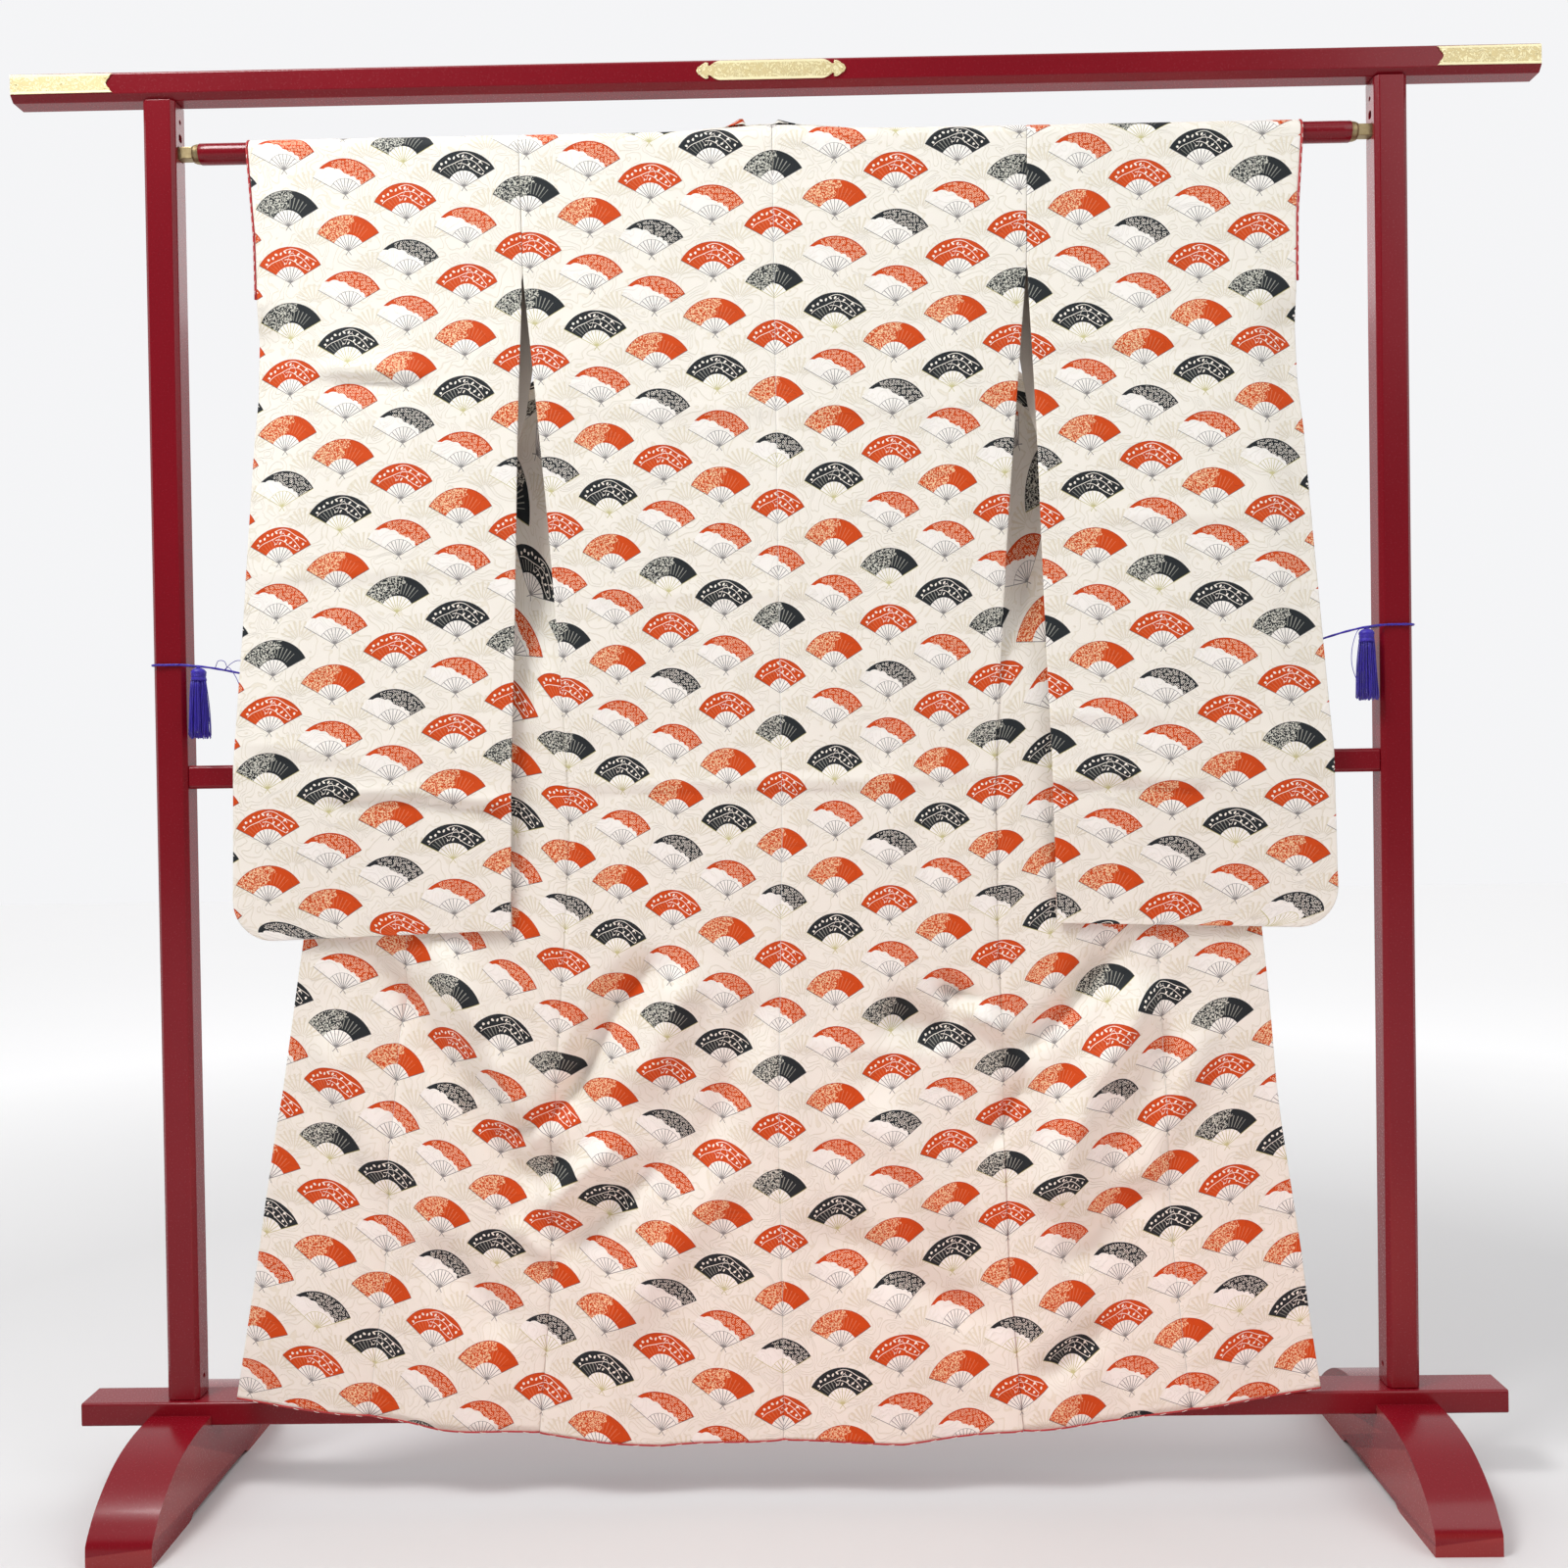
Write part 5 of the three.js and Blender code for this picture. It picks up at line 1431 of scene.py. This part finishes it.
class KIMONO_OT_sleeves(bpy.types.Operator):
    """Adds the two long sleeves, each one length folded over the pole"""

    bl_idname = "kimono.sleeves"
    bl_label = "Sleeves"

    def execute(self, context):
        step = context.scene.kimono_cloth.spacing / MM
        curve = SLEEVE_FOOT + SLEEVE_ROUND * (1 - np.sin(np.linspace(math.pi / 2, 0, 12)))
        rows = rows_between(SLEEVE_FOOT + SLEEVE_ROUND, CUFF_END, ARM_SEAM, POLE_Z, step=step)
        rows = np.concatenate([curve, rows[1:]])
        t = spread(SLEEVE_WIDTH + 2, step)
        for side in (-1, 1):
            lines = LEFT_SLEEVE_PRESSED if side < 0 else RIGHT_SLEEVE_PRESSED
            back, front, back_places, front_places = [], [], [], []
            base = (-293.0, -1569.0) if side < 0 else (9.0, -1585.5)
            for z in rows:
                x = side * sleeve_x(z, t)
                rise = 9 * (1 - t) * smooth((1000 - z) / 300)
                behind, before = sleeve_depths(z, t)
                calm = smooth((1640 - z) / 60) * smooth((z - SLEEVE_FOOT) / 60 + 0.2)
                push = (pressed_lines(x, z, lines) + 0.8 * ripple(x + 400, z)) * calm
                belly = 3.0 * np.sin(math.pi * t) * smooth((z - SLEEVE_FOOT) / 200) * smooth((1500 - z) / 300)
                back.append(np.stack([x, behind - push - belly, z + rise], 1))
                front_x = x + side * (float(self.furi(z)) - sleeve_x(z, 0.0)) * (1 - t) ** 3
                front.append(np.stack([front_x, before, z + rise], 1))
                way = np.stack([side * SLEEVE_WIDTH * t, np.full(len(t), z)], 1)
                back_places.append(way + (side * base[0], base[1]))
                front_places.append(way * (1, -1) + (side * base[0], 2 * POLE_Z + 45 + base[1]))
            ridge = [over_pole(side * sleeve_x(POLE_Z, t), turn) for turn in POLE_TURNS]
            ridge_x = side * (SLEEVE_WIDTH * t + base[0])
            ridge_places = [np.stack([ridge_x, np.full(len(t), POLE_Z + RIDGE * turn + base[1])], 1)
                            for turn in POLE_TURNS]
            grid = np.array(back + ridge + front[::-1])
            place = np.array(back_places + ridge_places + front_places[::-1])
            across = np.maximum(beside(SLEEVE_WIDTH * t), 0.6 * beside(SLEEVE_WIDTH * (1 - t)))
            soft = np.tile(across, (len(grid), 1))
            name = side_name(side)
            piece = shell(f"sleeve_{name}", grid, place,
                          [panel_finish(f"sleeve_{name}"), finish_of("lining_silk", lining_silk)], soft=soft,
                          flip=side < 0)
            ride_root(piece, "figured_silk", f"sleeve_{name}")
        return {"FINISHED"}

    @staticmethod
    def furi(z):
        """Open inner edge of the front layer: it hangs closer to the body than the back layer."""
        return np.interp(z, (1150, 1285, 1335, 1420, ARM_SEAM), (334, 327, 312, 300, 310.8))


class KIMONO_OT_edges(bpy.types.Operator):
    """Adds the rolled red edges at cuffs and hem and the white basting along them"""

    bl_idname = "kimono.edges"
    bl_label = "Rolled edges"

    def execute(self, context):
        red = finish_of("red_silk", red_silk)
        stitches = []
        for side in (-1, 1):
            name = side_name(side)
            path = self.cuff_path(side)
            piece = outward(mesh_object(f"cuff_lining_{name}", *tube(path, 1.55, 10), [red]))
            ride_root(piece, "red_lining", f"cuff_lining_{name}")
            stitches += self.basting(path, 12.0, 2.1, slant=5.0)
            path = self.front_hem_path(side)
            piece = outward(mesh_object(f"hem_lining_front_{name}", *tube(path, 1.3, 10), [red]))
            ride_root(piece, "red_lining", f"hem_lining_front_{name}")
            stitches += self.basting(path, 26.0, 2.3, slant=7.0)
        path = self.back_hem_path()
        piece = outward(mesh_object("hem_lining_back", *tube(path, 1.3, 10), [red]))
        ride_root(piece, "red_lining", "hem_lining_back")
        stitches += self.basting(path, 26.0, 2.3, slant=7.0)
        cotton = finish_of("basting_cotton", thread_cotton)
        piece = outward(mesh_object("basting_thread", *joined(stitches), [cotton]))
        ride_root(piece, "figured_silk")
        return {"FINISHED"}

    @staticmethod
    def cuff_path(side):
        heights = rows_between(CUFF_END, POLE_Z, step=12)
        out = 1.8
        x = side * (sleeve_x(heights, 1.0) + out)
        behind, before = sleeve_depths(heights, 1.0)
        back = np.stack([x, behind, heights], 1)
        front = np.stack([x, before, heights], 1)
        top_x = side * (float(sleeve_x(POLE_Z, 1.0)) + out)
        over = [over_pole(np.array(top_x), turn) for turn in POLE_TURNS]
        return np.concatenate([back, over, front[::-1]])

    @staticmethod
    def front_hem_path(side):
        width = float(cut(FRONT, HEM) + SEAM + cut(OKUMI, HEM))
        q = np.linspace(0.5, width, 90)
        return front_place(side, q, HEM) - (0, 0, 1.1)

    @staticmethod
    def back_hem_path():
        reach = float(cut(SIDE, HEM)) - 0.5
        x = np.linspace(-reach, reach, 130)
        path = np.array([back_place(1, value, HEM) for value in x])
        return path - (0, 0, 1.1)

    @staticmethod
    def basting(path, gap, lift, slant):
        """Short stitches that lie across the rolled edge."""
        way = np.concatenate([[0], np.cumsum(np.linalg.norm(np.diff(path, axis=0), axis=1))])
        parts = []
        for start in np.arange(gap / 2, way[-1] - slant, gap):
            ends = [np.array([np.interp(s, way, path[:, k]) for k in range(3)]) for s in (start, start + slant)]
            ahead = (ends[1] - ends[0]) / np.linalg.norm(ends[1] - ends[0])
            out = np.cross(ahead, np.cross(ahead, (0, 1.0, 0)))
            out /= np.linalg.norm(out)
            a = ends[0] + out * lift + (0, -0.9, 0)
            b = ends[1] - out * 0.8 + (0, -2.1, 0)
            middle = (a + b) / 2 + (0, -0.6, 0)
            parts.append(tube(curve_through([a, middle, b], 6), 0.32, 5))
        return parts


class KIMONO_OT_cloth_sizes(bpy.types.Operator):
    bl_idname = "kimono.cloth_sizes"
    bl_label = "Cut sizes"

    def execute(self, context):
        return {"FINISHED"}


# ================================================================ the stand
def bevel_solid(name, finish, width):
    """Keeps a solid of the frame, rounds its edges a little and gives it its finish."""
    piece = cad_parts[name]
    weld = piece.modifiers.new("weld", "WELD")
    weld.merge_threshold = 1e-5
    bevel = piece.modifiers.new("edges", "BEVEL")
    bevel.width = width
    bevel.segments = 3
    bevel.limit_method = "ANGLE"
    bevel.angle_limit = math.radians(24)
    bevel.harden_normals = True
    piece.data.materials.clear()
    piece.data.materials.append(finish)
    return piece


class KIMONO_OT_stand(bpy.types.Operator):
    """Finishes the beam, posts, rail and board, and adds the feet"""

    bl_idname = "kimono.stand"
    bl_label = "Stand"

    def execute(self, context):
        settings = context.scene.kimono_stand
        red = finish_of("maroon_lacquer", lacquer)
        for name in ("top_beam", "mid_rail", "base_board", "post_left", "post_right"):
            bevel_solid(name, red, settings.edge)
        for side in (-1, 1):
            self.foot(side, red)
        return {"FINISHED"}

    @staticmethod
    def foot(side, finish):
        """A long arch with two flat pads and a seat for the board, edges softly rounded."""
        curve = curve_through([(0, a, b) for a, b in FOOT_TOP[1:]], 34)[:, 1:]
        front = [(-a, b) for a, b in curve][::-1]
        outline = [(-205, 0), (-205, 14), (-204.4, 24)] + front
        outline += [(-26.4, 98), (-26.4, 85.1), (26.4, 85.1), (26.4, 98)]
        outline += [(a, b) for a, b in curve] + [(204.4, 24), (205, 14), (205, 0)]
        outline += [(100, 0), (93, 1.5), (86, 6), (-86, 6), (-93, 1.5), (-100, 0)]
        work = bmesh.new()
        near = [work.verts.new(Vector((side * POST_X - 38, a, b)) * MM) for a, b in outline]
        far = [work.verts.new(Vector((side * POST_X + 38, a, b)) * MM) for a, b in outline]
        work.faces.new(near)
        work.faces.new(far[::-1])
        for k in range(len(outline)):
            work.faces.new((near[k], far[k], far[(k + 1) % len(outline)], near[(k + 1) % len(outline)]))
        bmesh.ops.recalc_face_normals(work, faces=work.faces)
        mesh = bpy.data.meshes.new(f"foot_{side_name(side)}")
        work.to_mesh(mesh)
        work.free()
        mesh.materials.append(finish)
        mesh.polygons.foreach_set("use_smooth", np.ones(len(mesh.polygons), bool))
        piece = bpy.data.objects.new(fine_name(f"foot_{side_name(side)}"), mesh)
        bpy.context.scene.collection.objects.link(piece)
        bevel = piece.modifiers.new("edges", "BEVEL")
        bevel.width = 4.2 * MM
        bevel.segments = 5
        bevel.limit_method = "ANGLE"
        bevel.angle_limit = math.radians(33)
        bevel.harden_normals = True
        ride_root(piece, "lacquer", f"foot_{side_name(side)}")


class KIMONO_OT_pole(bpy.types.Operator):
    """Adds the round pole with its square metal pins"""

    bl_idname = "kimono.pole"
    bl_label = "Pole"

    def execute(self, context):
        red = finish_of("maroon_lacquer", lacquer)
        metal = finish_of("aged_metal", aged_metal)
        radius, half = 12.95, 721.0
        profile = [(-half + 0.2, 9.2), (-half + 0.6, 10.4), (-half + 4, 11.6), (-half + 8.6, 12.3), (-half + 9, 12.6),
                   (-half + 9.6, radius)]
        stations = profile + [(x, radius) for x in np.linspace(-half + 20, half - 20, 24)]
        stations += [(-x, r) for x, r in profile[::-1]]
        sides = 64
        turn = 2 * math.pi * np.arange(sides) / sides
        points = [(x, r * math.cos(t), POLE_Z + r * math.sin(t)) for x, r in stations for t in turn]
        faces = [[k * sides + m, k * sides + (m + 1) % sides, (k + 1) * sides + (m + 1) % sides, (k + 1) * sides + m]
                 for k in range(len(stations) - 1) for m in range(sides)]
        faces += [list(range(sides)), [(len(stations) - 1) * sides + m for m in range(sides)]]
        kind = np.zeros(len(faces))
        kind[:sides * 4] = 1
        kind[sides * (len(stations) - 5):] = 1
        rod = outward(mesh_object("pole_rod", points, faces, [red, metal], kind))
        rod.data.polygons[-1].use_smooth = rod.data.polygons[-2].use_smooth = False
        ride_root(rod, "lacquer", "pole")
        pins = [self.pin(side) for side in (-1, 1)]
        piece = outward(mesh_object("pole_pins", *joined(pins), [metal], rounded=np.zeros(12)))
        bevel = piece.modifiers.new("edges", "BEVEL")
        bevel.width = 0.8 * MM
        bevel.segments = 2
        ride_root(piece, "brass")
        return {"FINISHED"}

    @staticmethod
    def pin(side):
        half = 7.2
        points = np.array([(side * x, y * half, POLE_Z + z * half) for x in (720.6, 749.5) for y, z in (
            (-1, -1), (1, -1), (1, 1), (-1, 1))])
        return points, [[0, 1, 2, 3], [7, 6, 5, 4], [0, 4, 5, 1], [1, 5, 6, 2], [2, 6, 7, 3], [3, 7, 4, 0]]


class KIMONO_OT_plates(bpy.types.Operator):
    """Adds the shaped brass plates with their nails"""

    bl_idname = "kimono.plates"
    bl_label = "Brass plates"

    def execute(self, context):
        brass = finish_of("engraved_brass", engraved_brass)
        for side in (-1, 1):
            outline = [(side * x, z) for x, z in self.end_outline()]
            self.plate(f"end_plate_{side_name(side)}", outline, brass, [
                (side * x, z) for x, z in ((821, 1741.5), (821, 1754.1), (876, 1747.8), (932, 1747.8))])
        half = self.centre_outline()
        outline = half + [(-x, z) for x, z in half[::-1]]
        self.plate("centre_plate", outline, brass, [(-87, 1747.8), (87, 1747.8), (-27, 1747.8), (27, 1747.8)])
        return {"FINISHED"}

    @staticmethod
    def end_outline():
        low, high = PLATE["low"], PLATE["high"]
        middle = (low + high) / 2
        notch = [(812, high - 0.4), (814.2, high - 1.4), (815.6, high - 3.4), (815.9, high - 5.2),
                 (817.8, high - 6.6), (819.4, middle + 2.6), (820.6, middle)]
        lower = [(x, 2 * middle - z) for x, z in notch[:-1]][::-1]
        return [(939, low), (939, high)] + notch + lower

    @staticmethod
    def centre_outline():
        low, high = PLATE["low"], PLATE["high"]
        middle, half = (low + high) / 2, (high - low) / 2
        upper = [(62, 1.0), (66, 0.95), (70, 0.80), (73, 0.62), (74.6, 0.50), (76, 0.47), (77.2, 0.53), (77.4, 0.63),
                 (76.7, 0.73), (78, 0.82), (80.5, 0.84), (83.5, 0.72), (86.5, 0.52), (89.8, 0.34), (91.8, 0.0)]
        points = [(x, middle + half * s) for x, s in upper]
        return points + [(x, 2 * middle - z) for x, z in points[:-1]][::-1]

    @staticmethod
    def plate(name, outline, finish, nails):
        face, thick = PLATE["face"], PLATE["thick"]
        work = bmesh.new()
        back = [work.verts.new(Vector((x, face, z)) * MM) for x, z in outline]
        work.faces.new(back)
        grown = bmesh.ops.extrude_face_region(work, geom=work.faces[:])
        moved = [v for v in grown["geom"] if isinstance(v, bmesh.types.BMVert)]
        bmesh.ops.translate(work, verts=moved, vec=(0, -thick * MM, 0))
        for x, z in nails:
            made = bmesh.ops.create_uvsphere(work, u_segments=16, v_segments=8, radius=1.5 * MM)
            bmesh.ops.scale(work, verts=made["verts"], vec=(1, 0.55, 1))
            bmesh.ops.translate(work, verts=made["verts"], vec=Vector((x, face - thick, z)) * MM)
        bmesh.ops.recalc_face_normals(work, faces=work.faces)
        mesh = bpy.data.meshes.new(name)
        work.to_mesh(mesh)
        work.free()
        mesh.materials.append(finish)
        piece = bpy.data.objects.new(fine_name(name), mesh)
        bpy.context.scene.collection.objects.link(piece)
        bevel = piece.modifiers.new("edges", "BEVEL")
        bevel.width = 0.35 * MM
        bevel.segments = 2
        bevel.limit_method = "ANGLE"
        bevel.angle_limit = math.radians(50)
        ride_root(piece, "brass", name)


# ================================================================ panel and registration
class KIMONO_PT_pieces(bpy.types.Panel):
    """Pieces of the kimono and its stand"""

    bl_idname = "KIMONO_PT_pieces"
    bl_label = "Kimono on a Stand"
    bl_space_type = "VIEW_3D"
    bl_region_type = "UI"
    bl_category = "Kimono"

    def draw(self, context):
        for group in ("kimono_cloth", "kimono_stand", "kimono_cord", "kimono_stage"):
            settings = getattr(context.scene, group)
            box = self.layout.box()
            for key in settings.bl_rna.properties.keys():
                if key not in {"rna_type", "name"}:
                    box.prop(settings, key)
        for operator in OPERATORS:
            self.layout.operator(operator.bl_idname)


GROUPS = {
    "kimono_cloth": ClothSettings,
    "kimono_stand": StandSettings,
    "kimono_cord": CordSettings,
    "kimono_stage": StageSettings,
}
OPERATORS = (
    KIMONO_OT_stage, KIMONO_OT_cord, KIMONO_OT_tassels, KIMONO_OT_stand, KIMONO_OT_pole, KIMONO_OT_plates,
    KIMONO_OT_body, KIMONO_OT_okumi, KIMONO_OT_collar, KIMONO_OT_sleeves, KIMONO_OT_edges, KIMONO_OT_cloth_sizes,
)


def register():
    for group in GROUPS.values():
        bpy.utils.register_class(group)
    for name, group in GROUPS.items():
        setattr(bpy.types.Scene, name, bpy.props.PointerProperty(type=group))
    for operator in OPERATORS:
        bpy.utils.register_class(operator)
    bpy.utils.register_class(KIMONO_PT_pieces)


def unregister():
    bpy.utils.unregister_class(KIMONO_PT_pieces)
    for operator in reversed(OPERATORS):
        bpy.utils.unregister_class(operator)
    for name, group in GROUPS.items():
        delattr(bpy.types.Scene, name)
        bpy.utils.unregister_class(group)


def main():
    register()
    for operator in OPERATORS:
        space, name = operator.bl_idname.split(".")
        getattr(getattr(bpy.ops, space), name)()


if __name__ == "__main__":
    main()
